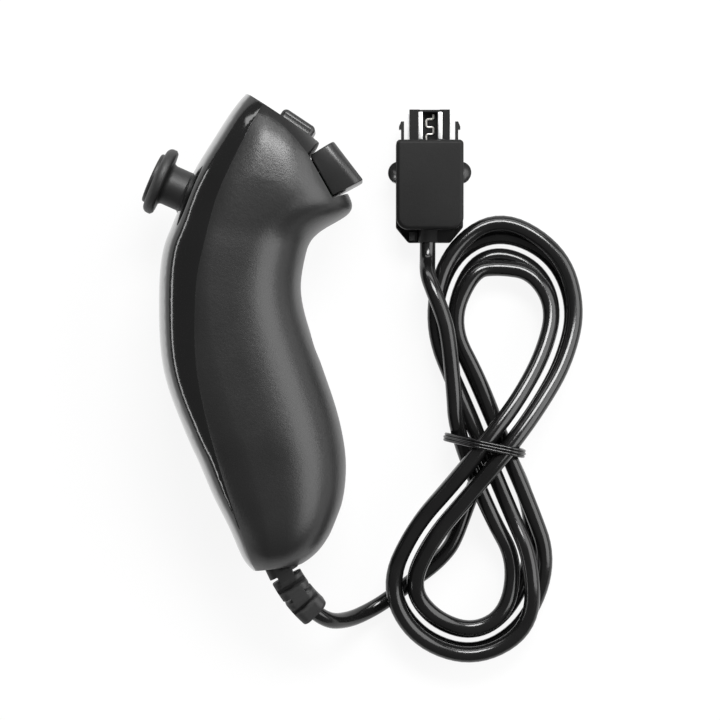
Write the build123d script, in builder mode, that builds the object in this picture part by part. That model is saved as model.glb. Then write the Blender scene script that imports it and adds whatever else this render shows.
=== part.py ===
from build123d import *
from math import cos, radians, sin, tan
import os

os.makedirs("parts", exist_ok=True)

# Motion controller wand: a hand-held casing with a thumb stick and two finger buttons,
# on a thin cord that lies folded in a tied hank and ends in a latching plug.
# The wand lies on one flank. X is right, Y runs from the tail to the head, Z is up.
# Millimetres throughout.

# Driving sizes of the casing
wand_length = 113.0
wand_width = 38.0
shell_wall = 2.1
bezel_panel_wall = 1.6
front_crown = 2.2
overrun = 6.0
moving_gap = 0.3
pin_gap = 0.1
mid_height = wand_width / 2

# Shares of the wand's length: front edge x, y and back edge x, y of each cross section,
# then its half width as a share of the wand's half width
station_shares = (
    (-0.0125, 0.4969, 0.1396, 0.3958, 0.710),
    (-0.0417, 0.4615, 0.1688, 0.3521, 0.868),
    (-0.0813, 0.4000, 0.1917, 0.3042, 0.963),
    (-0.1146, 0.3458, 0.2083, 0.2688, 1.000),
    (-0.1542, 0.2542, 0.1542, 0.2188, 1.000),
    (-0.1854, 0.1688, 0.1063, 0.1365, 1.000),
    (-0.1927, 0.1000, 0.1021, 0.0896, 1.000),
    (-0.1927, 0.0167, 0.1125, 0.0313, 1.000),
    (-0.1865, -0.0604, 0.1375, -0.0458, 1.000),
    (-0.1667, -0.1354, 0.1667, -0.1292, 1.000),
    (-0.1333, -0.2188, 0.1896, -0.2167, 1.000),
    (-0.0979, -0.2979, 0.1958, -0.2896, 0.963),
    (-0.0646, -0.3708, 0.1875, -0.3542, 0.926),
    (-0.0375, -0.4271, 0.1688, -0.4063, 0.879),
    (-0.0188, -0.4688, 0.1396, -0.4521, 0.763),
    (0.0021, -0.4938, 0.1063, -0.4792, 0.553),
)
run_on_share = 0.6
crease_height_share = 0.75
crease_mid_share = 0.25
crease_way = (0.6, 1)
crease_pull = 0.8
flank_start_share = 0.38
flank_end_share = 0.52
shoulder_share = 0.82
back_round_share = 0.62

# Seam between the glossy front and the matte back, in shares of the wand's length
seam_shares = (
    (0.0333, 0.4938), (0.0258, 0.4721), (0.0167, 0.4542), (0.0021, 0.4271), (-0.0313, 0.3604),
    (-0.0688, 0.2750), (-0.0938, 0.1813), (-0.1073, 0.1188), (-0.1125, 0.0438), (-0.1125, -0.0313),
    (-0.1042, -0.1083), (-0.0771, -0.2260), (-0.0417, -0.3438), (-0.0146, -0.4250), (0.0000, -0.4708),
    (0.0104, -0.4979), (0.0146, -0.5300),
)
seam_start_share = (0.0420, 0.5300)
clear_share = 0.75

# The middle of the finished wand's box, so that the origin lies under it
middle_share = (0.00362, -0.00155)

# Lower edge of the button bezel, and the notch that holds the trigger
bezel_edge_shares = ((0.0156, 0.4508), (0.0625, 0.4271), (0.0958, 0.3938), (0.1179, 0.3667))
notch_foot_share = (0.1688, 0.2760)
lip_tip_share = (0.2021, 0.2896)
notch_outer_share = 0.34


def place(share, height=0.0):
    """A point of the wand's outline, from its shares of the wand's length."""
    across = (share[0] + middle_share[0]) * wand_length
    along = (share[1] + middle_share[1]) * wand_length
    return Vector(across, along, height)


def finish(piece, name):
    """Give a piece its name and write it out."""
    piece.part.label = name
    export_step(piece.part, "parts/" + name + ".step")


def section(station, inset):
    """Half of one cross section of the casing, inset by a wall's thickness."""
    front = place(station[0:2], mid_height)
    chord = place(station[2:4], mid_height) - front
    along = chord.normalized()
    depth = chord.length - 2 * inset
    half = station[4] * wand_width / 2 - inset
    crown = front_crown * station[4]
    crease = crease_height_share * half
    with BuildSketch(Plane(front + along * inset, along, Vector(along.Y, -along.X, 0))) as outline:
        with BuildLine():
            ThreePointArc((0, 0), (crown * crease_mid_share, crease / 2), (crown, crease))
            Spline(
                (crown, crease),
                (depth * flank_start_share, half),
                tangents=(crease_way, (1, 0)),
                tangent_scalars=(crease_pull, crease_pull),
            )
            Line((depth * flank_start_share, half), (depth * flank_end_share, half))
            Bezier(
                (depth * flank_end_share, half),
                (depth * shoulder_share, half),
                (depth, half * back_round_share),
                (depth, 0),
            )
            Line((depth, 0), (0, 0))
        make_face()
    return outline.sketch


def run_on(station, neighbour):
    """A section a little past an end of the wand, so that the end can be cut flat."""
    return tuple(here + run_on_share * (here - there) for here, there in zip(station, neighbour))


def cap_plane(station, outward):
    """The flat end of the wand at a section; outward is 1 at the tail and -1 at the head."""
    front = place(station[0:2], mid_height)
    back = place(station[2:4], mid_height)
    along = (back - front).normalized()
    return Plane((front + back) / 2, along, Vector(along.Y, -along.X, 0) * outward)


def casing_form(inset, panel_inset):
    """The whole outer form of the casing, or its cavity where insets are given."""
    stations = (
        run_on(station_shares[0], station_shares[1]),
        *station_shares,
        run_on(station_shares[-1], station_shares[-2]),
    )
    with BuildPart() as form:
        for station in stations:
            add(section(station, inset))
        loft()
        mirror(about=Plane.XY.offset(mid_height))
        split(bisect_by=head_cap.offset(-panel_inset), keep=Keep.BOTTOM)
        split(bisect_by=tail_cap.offset(-inset), keep=Keep.BOTTOM)
        split(bisect_by=Plane.XY.offset(inset), keep=Keep.TOP)
        split(bisect_by=Plane.XY.offset(wand_width - inset), keep=Keep.BOTTOM)
    return form.part


head_cap = cap_plane(station_shares[0], -1)
tail_cap = cap_plane(station_shares[-1], 1)
outer_form = casing_form(0, 0)
cavity = casing_form(shell_wall, bezel_panel_wall)

floor_plane = Plane.XY.offset(-overrun)
through_height = wand_width + 2 * overrun

# Everything in front of the seam
with BuildPart() as front_zone:
    with BuildSketch(floor_plane):
        with BuildLine():
            Spline(place(seam_start_share), *[place(share) for share in seam_shares])
            Polyline(
                place(seam_shares[-1]),
                place((-clear_share, seam_shares[-1][1])),
                place((-clear_share, seam_start_share[1])),
                place(seam_start_share),
            )
        make_face()
    extrude(amount=through_height)

# The trigger's notch, open to the outside between the bezel and the lip
notch_corner = place(bezel_edge_shares[-1])
notch_foot = place(notch_foot_share)
panel_end = place(station_shares[0][2:4])
notch_reach = notch_outer_share * wand_length
notch_top = notch_corner + (panel_end - notch_corner).normalized() * notch_reach
lip_tip = place(lip_tip_share)
notch_low = notch_foot + (lip_tip - notch_foot).normalized() * notch_reach
with BuildPart() as notch:
    with BuildSketch(floor_plane):
        with BuildLine():
            Polyline(notch_corner, notch_top, notch_low, notch_foot, close=True)
        make_face()
    extrude(amount=through_height)

# Everything beyond the bezel's lower edge, above the notch
with BuildPart() as bezel_zone:
    with BuildSketch(floor_plane):
        with BuildLine():
            Spline(*[place(share) for share in bezel_edge_shares])
            Polyline(
                notch_corner,
                notch_top,
                place((clear_share, clear_share)),
                place((seam_start_share[0], clear_share)),
                place(bezel_edge_shares[0]),
            )
        make_face()
    extrude(amount=through_height)

# Frame of the trigger: x runs down its back edge, y points out of the wand
trigger_down = (notch_foot - notch_corner).normalized()
trigger_plane = Plane(notch_corner + Vector(0, 0, mid_height), trigger_down, (0, 0, 1))
notch_length = (notch_foot - notch_corner).length

# Trigger sizes
trigger_width = 20.0
trigger_wall = 1.2
trigger_top_reach = 6.8
trigger_foot_reach = 8.5
trigger_foot_gap = 0.6
trigger_foot_bulge = 0.35
trigger_round = 2.4
trigger_pin_down = 3.1
trigger_pin_out = 2.4
trigger_pin_radius = 0.8
trigger_lug_radius = 1.2
trigger_lug_width = 7.0
trigger_seat_depth = 0.8
trigger_opening_top = 4.0
bezel_back_wall = 1.6
bezel_end_wall = 1.4

# Finger button on the head's flat panel
panel_recess = 0.7
button_length = 9.0
button_width = 14.0
button_rise = 3.0
button_centre = 3.8
button_round = 1.2
button_travel = 0.8
button_side_gap = 0.2
button_flange = 0.8
button_flange_reach = 0.7
button_flange_gap = 0.2
button_press_gap = 0.9
dome_height = 1.6
dome_radius = 3.0
dome_rim_reach = 0.7
dome_rim = 0.5
contact_board_thickness = 1.0
contact_board_length = 14.0
contact_board_width = 19.0
contact_board_round = 4.6
contact_board_shift = 1.2
post_radius = 1.2
post_place = -2.9
post_spread = 8.0
stake_radius = 0.7
recess_margin = 1.4
button_floor = -panel_recess
flange_top = -bezel_panel_wall - button_flange_gap
flange_bottom = flange_top - button_flange
dome_top = flange_bottom - button_press_gap
contact_board_face = dome_top - dome_height

bezel_depth = overrun + bezel_back_wall

# Walls of the notch: the end wall beside the panel and the back wall with its opening
bezel_end_down = (notch_corner - panel_end).normalized()
bezel_end_plane = Plane(panel_end + Vector(0, 0, mid_height), bezel_end_down, (0, 0, 1))
bezel_end_length = (notch_corner - panel_end).length
with BuildPart() as notch_walls:
    with BuildSketch(trigger_plane.offset(-wand_width)):
        with Locations((-bezel_end_wall, -bezel_back_wall)):
            Rectangle(notch_length + overrun, bezel_back_wall, align=(Align.MIN, Align.MIN))
    extrude(amount=2 * wand_width)
    with BuildSketch(trigger_plane.offset(-trigger_width / 2 - moving_gap)):
        with Locations((trigger_opening_top, 0)):
            Rectangle(notch_length + overrun, 2 * bezel_depth, align=(Align.MIN, Align.CENTER))
    extrude(amount=trigger_width + 2 * moving_gap, mode=Mode.SUBTRACT)
    with BuildSketch(bezel_end_plane.offset(-wand_width)):
        with Locations((-overrun, -bezel_end_wall)):
            Rectangle(
                bezel_end_length + bezel_back_wall + overrun,
                bezel_end_wall,
                align=(Align.MIN, Align.MIN),
            )
    extrude(amount=2 * wand_width)
    add(cavity, mode=Mode.INTERSECT)
    add(notch.part, mode=Mode.SUBTRACT)

# Button bezel: panel with the button's opening, the notch's walls, a lug for the trigger's
# pin, and two posts that carry the contact board
with BuildPart() as button_bezel:
    add(outer_form)
    add(cavity, mode=Mode.SUBTRACT)
    add(notch.part, mode=Mode.SUBTRACT)
    add(bezel_zone.part, mode=Mode.INTERSECT)
    add(front_zone.part, mode=Mode.SUBTRACT)
    add(notch_walls.part)
    with BuildSketch(head_cap.offset(-panel_recess)):
        with Locations((button_centre, 0)):
            RectangleRounded(
                button_length + 2 * recess_margin,
                button_width + 2 * recess_margin,
                button_round + recess_margin,
            )
    extrude(amount=overrun, mode=Mode.SUBTRACT)
    with BuildSketch(head_cap.offset(-bezel_panel_wall - overrun)):
        with Locations((button_centre, 0)):
            RectangleRounded(
                button_length + 2 * button_side_gap,
                button_width + 2 * button_side_gap,
                button_round + button_side_gap,
            )
    extrude(amount=2 * overrun + bezel_panel_wall, mode=Mode.SUBTRACT)
    with BuildSketch(head_cap.offset(contact_board_face)):
        with Locations((post_place, -post_spread), (post_place, post_spread)):
            Circle(post_radius)
    extrude(amount=-contact_board_face - bezel_panel_wall / 2)
    with BuildSketch(head_cap.offset(contact_board_face - contact_board_thickness)):
        with Locations((post_place, -post_spread), (post_place, post_spread)):
            Circle(stake_radius)
    extrude(amount=contact_board_thickness + post_radius)
    with BuildSketch(trigger_plane.offset(-trigger_lug_width / 2)):
        with Locations((trigger_pin_down, trigger_pin_out)):
            Circle(trigger_lug_radius)
        with Locations((trigger_pin_down, trigger_pin_out / 2 - bezel_back_wall / 4)):
            Rectangle(2 * trigger_lug_radius, trigger_pin_out + bezel_back_wall / 2)
        with Locations((trigger_pin_down, trigger_pin_out)):
            Circle(trigger_pin_radius, mode=Mode.SUBTRACT)
    extrude(amount=trigger_lug_width)
finish(button_bezel, "button_bezel")

# Screws that join the two shells. Each lies along X, deep in a recess of the back.
screw_height_shares = (-0.0292, -0.3917)
screw_floor_shares = (0.0097, 0.1018)
recess_radius = 3.5
recess_wall = 1.5
recess_floor = 2.0
shell_boss_radius = 3.0
shell_screw_radius = 1.2
shell_screw_clearance = 0.2
shell_screw_head_radius = 2.6
shell_screw_head = 1.6
shell_screw_length = 11.0


def screw_plane(number, depth):
    """A plane across a shell screw, a depth below the floor of its recess."""
    along = screw_floor_shares[number] * wand_length - depth
    origin = Vector(along, screw_height_shares[number] * wand_length, mid_height)
    return Plane(origin, (0, 0, 1), (1, 0, 0))


screw_numbers = range(len(screw_height_shares))

# Thumb stick: x runs towards the head, y towards the underside, z out of the wand
stick_hole_share = (-0.1375, 0.2927)
stick_slope = 24.0
stick_hole_radius = 7.5
pivot_depth = 6.2
housing_half = 9.6
housing_wall = 1.0
housing_rise = 1.6
housing_depth = 8.0
housing_floor = 1.2
stick_along = Vector(sin(radians(stick_slope)), cos(radians(stick_slope)), 0)
stick_out = Vector(-cos(radians(stick_slope)), sin(radians(stick_slope)), 0)
stick_plane = Plane(place(stick_hole_share, mid_height), stick_along, stick_out)
pivot_plane = stick_plane.offset(-pivot_depth)
profile_plane = Plane(pivot_plane.origin, stick_along, -pivot_plane.y_dir)
cross_plane = Plane(pivot_plane.origin, pivot_plane.y_dir, stick_along)
trunnion_plane = Plane(pivot_plane.origin, stick_along, -pivot_plane.y_dir)
stick_axis = Axis(pivot_plane.origin, stick_out)

# Main board behind the stick, on four bosses of the front shell
board_depth = pivot_depth + housing_depth + housing_floor
board_thickness = 1.2
board_head_share = 0.1327
board_tail_share = 0.2124
board_head_end = board_head_share * wand_length
board_tail_end = board_tail_share * wand_length
board_half_width = 12.5
board_round = 2.0
board_boss_radius = 2.2
head_boss_inset = 2.4
head_boss_side = 8.0
tail_boss_inset = 3.0
tail_boss_side = 9.6
board_boss_places = (
    (board_head_end - head_boss_inset, -head_boss_side),
    (board_head_end - head_boss_inset, head_boss_side),
    (tail_boss_inset - board_tail_end, -tail_boss_side),
    (tail_boss_inset - board_tail_end, tail_boss_side),
)
board_screw_radius = 0.8
board_screw_length = 6.0
board_screw_head_radius = 1.6
board_screw_head = 1.0
board_plane = stick_plane.offset(-board_depth)
board_back_plane = board_plane.offset(-board_thickness)

# Bosses of the front shell, trimmed by the casing's own form
with BuildPart() as front_bosses:
    for number in screw_numbers:
        with BuildSketch(screw_plane(number, recess_floor)):
            Circle(shell_boss_radius)
        extrude(amount=-wand_length / 2)
    with BuildSketch(board_plane):
        with Locations(*board_boss_places):
            Circle(board_boss_radius)
    extrude(amount=board_depth + overrun)
    add(outer_form, mode=Mode.INTERSECT)
    for number in screw_numbers:
        with BuildSketch(screw_plane(number, recess_floor)):
            Circle(shell_screw_radius)
        extrude(amount=-shell_screw_length, mode=Mode.SUBTRACT)
    with BuildSketch(board_plane):
        with Locations(*board_boss_places):
            Circle(board_screw_radius)
    extrude(amount=board_screw_length, mode=Mode.SUBTRACT)

# Front shell: the glossy half, with the stick's round hole
with BuildPart() as front_shell:
    add(outer_form)
    add(cavity, mode=Mode.SUBTRACT)
    add(front_zone.part, mode=Mode.INTERSECT)
    add(front_bosses.part)
    with BuildSketch(stick_plane.offset(-pivot_depth + housing_rise)):
        Circle(stick_hole_radius)
    extrude(amount=pivot_depth + overrun, mode=Mode.SUBTRACT)
finish(front_shell, "front_shell")

# Sleeve of the cord at the tail: a slotted rubber strain relief on an arc
sleeve_start_share = (0.0604, -0.4854)
sleeve_end_share = (0.1271, -0.5792)
sleeve_tangent = Vector(0.42, -0.91, 0)
sleeve_droop = 3.0
sleeve_width = 7.4
sleeve_height = 6.5
sleeve_round = 2.0
neck_width = 5.2
neck_height = 4.6
neck_round = 1.2
neck_length = 4.0
sleeve_flange_width = 7.6
sleeve_flange_height = 8.4
sleeve_flange = 1.2
sleeve_start = place(sleeve_start_share, mid_height)
sleeve_end = place(sleeve_end_share, mid_height - sleeve_droop)
neck_plane = Plane(sleeve_start, sleeve_tangent.cross(Vector(0, 0, 1)), sleeve_tangent)

# Rear shell: the matte half, with two deep screw recesses in its back
with BuildPart() as rear_shell:
    add(outer_form)
    add(cavity, mode=Mode.SUBTRACT)
    add(notch.part, mode=Mode.SUBTRACT)
    add(bezel_zone.part, mode=Mode.SUBTRACT)
    add(front_zone.part, mode=Mode.SUBTRACT)
    with BuildSketch(neck_plane.offset(-neck_length - overrun)):
        RectangleRounded(neck_width + 2 * pin_gap, neck_height + 2 * pin_gap, neck_round + pin_gap)
    extrude(amount=neck_length + 2 * overrun, mode=Mode.SUBTRACT)
with BuildPart() as rear_bosses:
    for number in screw_numbers:
        with BuildSketch(screw_plane(number, recess_floor)):
            Circle(recess_radius + recess_wall)
        extrude(amount=wand_length / 2)
    add(outer_form, mode=Mode.INTERSECT)
with BuildPart() as rear_holes:
    for number in screw_numbers:
        with BuildSketch(screw_plane(number, 0)):
            Circle(recess_radius)
        extrude(amount=wand_length / 2)
        with BuildSketch(screw_plane(number, recess_floor)):
            Circle(shell_screw_radius + shell_screw_clearance)
        extrude(amount=recess_floor)
with BuildPart() as rear_whole:
    add(rear_shell.part)
    add(rear_bosses.part)
    add(rear_holes.part, mode=Mode.SUBTRACT)
finish(rear_whole, "rear_shell")

with BuildPart() as shell_screws:
    for number in screw_numbers:
        with BuildSketch(screw_plane(number, 0)):
            Circle(shell_screw_head_radius)
        extrude(amount=shell_screw_head)
        with BuildSketch(screw_plane(number, 0)):
            Circle(shell_screw_radius)
        extrude(amount=-shell_screw_length)
finish(shell_screws, "shell_screws")

# Cap of the stick: stem, underside lip, rounded rim and raised disc, heights above the hole
shaft_radius = 1.6
stem_radius = 4.8
stem_flare = 1.2
cap_radius = 8.1
cap_under = 5.3
cap_lip = 0.5
rim_height = 6.5
rim_top = 7.9
rim_groove = 0.6
groove_depth = 0.3
disc_radius = 6.05
disc_round = 0.5
cap_top = 8.8
bore_top = 6.0
dome_skirt_radius = 8.1
dome_skirt_wall = 1.0
dome_skirt_angle = 60.0


def cap_point(radius, height):
    """A point of the cap's profile, its height taken from the hole."""
    return (radius, height + pivot_depth)


with BuildPart() as stick_cap:
    with BuildSketch(profile_plane):
        with BuildLine():
            Polyline(
                cap_point(shaft_radius, 0),
                cap_point(stem_radius, 0),
                cap_point(stem_radius, cap_under - stem_flare),
            )
            TangentArc(
                cap_point(stem_radius, cap_under - stem_flare),
                cap_point(stem_radius + stem_flare, cap_under),
                tangent=(0, 1),
            )
            Polyline(
                cap_point(stem_radius + stem_flare, cap_under),
                cap_point(cap_radius - cap_lip, cap_under),
                cap_point(cap_radius, cap_under + cap_lip),
                cap_point(cap_radius, rim_height),
            )
            TangentArc(
                cap_point(cap_radius, rim_height),
                cap_point(disc_radius + rim_groove, rim_top),
                tangent=(0, 1),
            )
            Polyline(
                cap_point(disc_radius + rim_groove, rim_top),
                cap_point(disc_radius + rim_groove, rim_top - groove_depth),
                cap_point(disc_radius, rim_top - groove_depth),
                cap_point(disc_radius, cap_top - disc_round),
            )
            TangentArc(
                cap_point(disc_radius, cap_top - disc_round),
                cap_point(disc_radius - disc_round, cap_top),
                tangent=(0, 1),
            )
            Polyline(
                cap_point(disc_radius - disc_round, cap_top),
                cap_point(0, cap_top),
                cap_point(0, bore_top),
                cap_point(shaft_radius, bore_top),
                cap_point(shaft_radius, 0),
            )
        make_face()
    revolve(axis=stick_axis)
    with Locations(pivot_plane.location):
        Sphere(dome_skirt_radius, mode=Mode.SUBTRACT)
finish(stick_cap, "stick_cap")

# Domed skirt that closes the hole under the cap
skirt_inner = dome_skirt_radius - dome_skirt_wall
skirt_edge = radians(dome_skirt_angle)
with BuildPart() as stick_dome:
    with BuildSketch(profile_plane):
        with BuildLine():
            CenterArc((0, 0), dome_skirt_radius, 90 - dome_skirt_angle, dome_skirt_angle)
            Line((0, dome_skirt_radius), (0, skirt_inner))
            CenterArc((0, 0), skirt_inner, 90 - dome_skirt_angle, dome_skirt_angle)
            Line(
                (skirt_inner * sin(skirt_edge), skirt_inner * cos(skirt_edge)),
                (dome_skirt_radius * sin(skirt_edge), dome_skirt_radius * cos(skirt_edge)),
            )
        make_face()
    revolve(axis=stick_axis)
    with BuildSketch(pivot_plane):
        Circle(shaft_radius)
    extrude(amount=pivot_depth + overrun, mode=Mode.SUBTRACT)
finish(stick_dome, "stick_dome")

# Shaft of the stick, its cross pin and the gimbal ring
ring_outer = 6.2
ring_inner = 4.4
ring_thickness = 1.8
trunnion_radius = 0.8
trunnion_end = housing_half - pin_gap
cross_pin_radius = 0.7
cross_pin_half = 5.2
tail_radius = 1.2
tail_depth = 4.6
shaft_step = 1.5

with BuildPart() as stick_shaft:
    with BuildSketch(pivot_plane.offset(-shaft_step)):
        Circle(shaft_radius)
    extrude(amount=shaft_step + pivot_depth + bore_top)
    with BuildSketch(pivot_plane.offset(-tail_depth)):
        Circle(tail_radius)
    extrude(amount=tail_depth)
    with BuildSketch(cross_plane):
        Circle(cross_pin_radius)
    extrude(amount=cross_pin_half, both=True, mode=Mode.SUBTRACT)
finish(stick_shaft, "stick_shaft")

with BuildPart() as stick_cross_pin:
    with BuildSketch(cross_plane):
        Circle(cross_pin_radius)
    extrude(amount=cross_pin_half, both=True)
finish(stick_cross_pin, "stick_cross_pin")

with BuildPart() as stick_ring:
    with BuildSketch(trunnion_plane):
        Circle(trunnion_radius)
    extrude(amount=trunnion_end, both=True)
    with BuildSketch(pivot_plane):
        Circle(ring_outer)
    extrude(amount=ring_thickness / 2, both=True)
    with BuildSketch(pivot_plane):
        Circle(ring_inner)
    extrude(amount=ring_thickness, both=True, mode=Mode.SUBTRACT)
    with BuildSketch(cross_plane):
        Circle(cross_pin_radius + pin_gap)
    extrude(amount=ring_outer, both=True, mode=Mode.SUBTRACT)
finish(stick_ring, "stick_ring")

# Slotted arm: two eyes on stub axles, and a bar with the slot for the shaft's tail
arm_inner = 7.0
arm_outer = 8.0
arm_eye_radius = 1.3
arm_axle_radius = 0.8
bar_bottom = 4.4
bar_thickness = 1.2
bar_half_width = 2.4
slot_half_length = 3.4
with BuildPart() as slot_arm:
    for side in (-1, 1):
        with BuildSketch(cross_plane.offset(side * arm_inner)):
            Circle(arm_eye_radius)
            with Locations((0, -bar_bottom / 2)):
                Rectangle(2 * arm_eye_radius, bar_bottom)
        extrude(amount=side * (arm_outer - arm_inner))
        with BuildSketch(cross_plane.offset(side * arm_outer)):
            Circle(arm_axle_radius)
        extrude(amount=side * (trunnion_end - arm_outer))
    with BuildSketch(pivot_plane.offset(-bar_bottom)):
        Rectangle(2 * arm_outer, 2 * bar_half_width)
        Rectangle(2 * slot_half_length, 2 * (tail_radius + moving_gap), mode=Mode.SUBTRACT)
    extrude(amount=bar_thickness)
finish(slot_arm, "slot_arm")

# Return disc on its centring spring
disc_depth = 5.0
return_disc_radius = 5.0
return_disc_thickness = 0.8
spring_radius = 3.6
spring_wire = 0.6
spring_height = housing_depth - disc_depth - return_disc_thickness
spring_turns = 2.5
with BuildPart() as return_disc:
    with BuildSketch(pivot_plane.offset(-disc_depth - return_disc_thickness)):
        Circle(return_disc_radius)
    extrude(amount=return_disc_thickness)
finish(return_disc, "return_disc")

spring_rise = spring_height - spring_wire
spring_plane = pivot_plane.offset(-housing_depth + spring_wire / 2)
with BuildPart() as centring_spring:
    with BuildLine() as spring_line:
        Helix(
            spring_rise / spring_turns,
            spring_rise,
            spring_radius,
            center=spring_plane.origin,
            direction=stick_out,
        )
    with BuildSketch(Plane(spring_line.line @ 0, z_dir=spring_line.line % 0)):
        Circle(spring_wire / 2)
    sweep(is_frenet=True)
finish(centring_spring, "centring_spring")

# Open frame that holds the stick's mechanism, and two sensors on its walls
with BuildPart() as stick_housing:
    with BuildSketch(pivot_plane.offset(-housing_depth - housing_floor)):
        Rectangle(2 * housing_half, 2 * housing_half)
    extrude(amount=housing_floor + housing_depth + housing_rise)
    with BuildSketch(pivot_plane.offset(-housing_depth)):
        Rectangle(2 * (housing_half - housing_wall), 2 * (housing_half - housing_wall))
    extrude(amount=housing_depth + housing_rise, mode=Mode.SUBTRACT)
    with BuildSketch(trunnion_plane):
        Circle(trunnion_radius + pin_gap)
    extrude(amount=housing_half, both=True, mode=Mode.SUBTRACT)
    with BuildSketch(cross_plane):
        Circle(arm_axle_radius + pin_gap)
    extrude(amount=housing_half, both=True, mode=Mode.SUBTRACT)
finish(stick_housing, "stick_housing")

sensor_length = 8.0
sensor_thickness = 3.0
sensor_height = 7.0
with BuildPart() as potentiometers:
    with BuildSketch(pivot_plane.offset(housing_rise - sensor_height)):
        with Locations((0, housing_half + sensor_thickness / 2)):
            Rectangle(sensor_length, sensor_thickness)
        with Locations((-housing_half - sensor_thickness / 2, 0)):
            Rectangle(sensor_thickness, sensor_length)
    extrude(amount=sensor_height)
finish(potentiometers, "potentiometers")

# Main board with its screws, chips, capacitors and connector
with BuildPart() as main_board:
    with BuildSketch(board_back_plane):
        with Locations(((board_head_end - board_tail_end) / 2, 0)):
            RectangleRounded(board_head_end + board_tail_end, 2 * board_half_width, board_round)
        with Locations(*board_boss_places):
            Circle(board_screw_radius, mode=Mode.SUBTRACT)
    extrude(amount=board_thickness)
finish(main_board, "main_board")

with BuildPart() as board_screws:
    with BuildSketch(board_back_plane.offset(-board_screw_head)):
        with Locations(*board_boss_places):
            Circle(board_screw_head_radius)
    extrude(amount=board_screw_head)
    with BuildSketch(board_back_plane):
        with Locations(*board_boss_places):
            Circle(board_screw_radius)
    extrude(amount=board_screw_length)
finish(board_screws, "board_screws")

controller_side = 7.0
controller_height = 1.2
controller_place = (-2.0, -2.0)
sensor_chip_side = 4.0
sensor_chip_height = 1.4
sensor_chip_place = (-11.0, 5.0)
capacitor_radius = 1.5
capacitor_height = 3.0
capacitor_places = ((6.0, -6.0), (6.0, -1.5), (6.0, 3.0))
connector_length = 4.6
connector_width = 5.0
connector_height = 3.6
connector_side = -4.0


def board_block(name, centre, length, width, height):
    """A square chip on the back of the main board."""
    with BuildPart() as block:
        with BuildSketch(board_back_plane):
            with Locations(centre):
                Rectangle(length, width)
        extrude(amount=-height)
    finish(block, name)


board_block("controller_chip", controller_place, controller_side, controller_side, controller_height)
board_block("motion_sensor_chip", sensor_chip_place, sensor_chip_side, sensor_chip_side, sensor_chip_height)
connector_centre = (connector_length / 2 - board_tail_end, connector_side)
board_block("board_connector", connector_centre, connector_length, connector_width, connector_height)
with BuildPart() as capacitors:
    with BuildSketch(board_back_plane):
        with Locations(*capacitor_places):
            Circle(capacitor_radius)
    extrude(amount=-capacitor_height)
finish(capacitors, "capacitors")

# Finger button, its rubber dome and contact board
button_axis = Axis(head_cap.origin, head_cap.z_dir)
with BuildPart() as c_button:
    with BuildSketch(head_cap.offset(flange_bottom)):
        with Locations((button_centre, 0)):
            RectangleRounded(button_length, button_width, button_round)
    extrude(amount=button_rise - panel_recess - flange_bottom)
    fillet(c_button.faces().sort_by(button_axis)[-1].edges(), button_round)
    with BuildSketch(head_cap.offset(flange_bottom)):
        with Locations((button_centre - button_flange_reach / 2, 0)):
            Rectangle(button_length + button_flange_reach, button_width + 2 * button_flange_reach)
    extrude(amount=button_flange)
finish(c_button, "c_button")

with BuildPart() as c_switch_board:
    with BuildSketch(head_cap.offset(contact_board_face - contact_board_thickness)):
        with Locations((contact_board_shift, 0)):
            RectangleRounded(contact_board_length, contact_board_width, contact_board_round)
        with Locations((post_place, -post_spread), (post_place, post_spread)):
            Circle(stake_radius, mode=Mode.SUBTRACT)
    extrude(amount=contact_board_thickness)
finish(c_switch_board, "c_switch_board")

dome_taper = 20.0


def rubber_dome(name, base, radius, height):
    """A rubber dome with a flat rim on its contact board."""
    with BuildPart() as dome:
        with BuildSketch(base):
            Circle(radius + dome_rim_reach)
        extrude(amount=dome_rim)
        with BuildSketch(base):
            Circle(radius)
        extrude(amount=height, taper=dome_taper)
    finish(dome, name)


button_dome_base = head_cap.offset(contact_board_face) * Pos(button_centre, 0, 0)
rubber_dome("c_dome", button_dome_base, dome_radius, dome_height)

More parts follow.
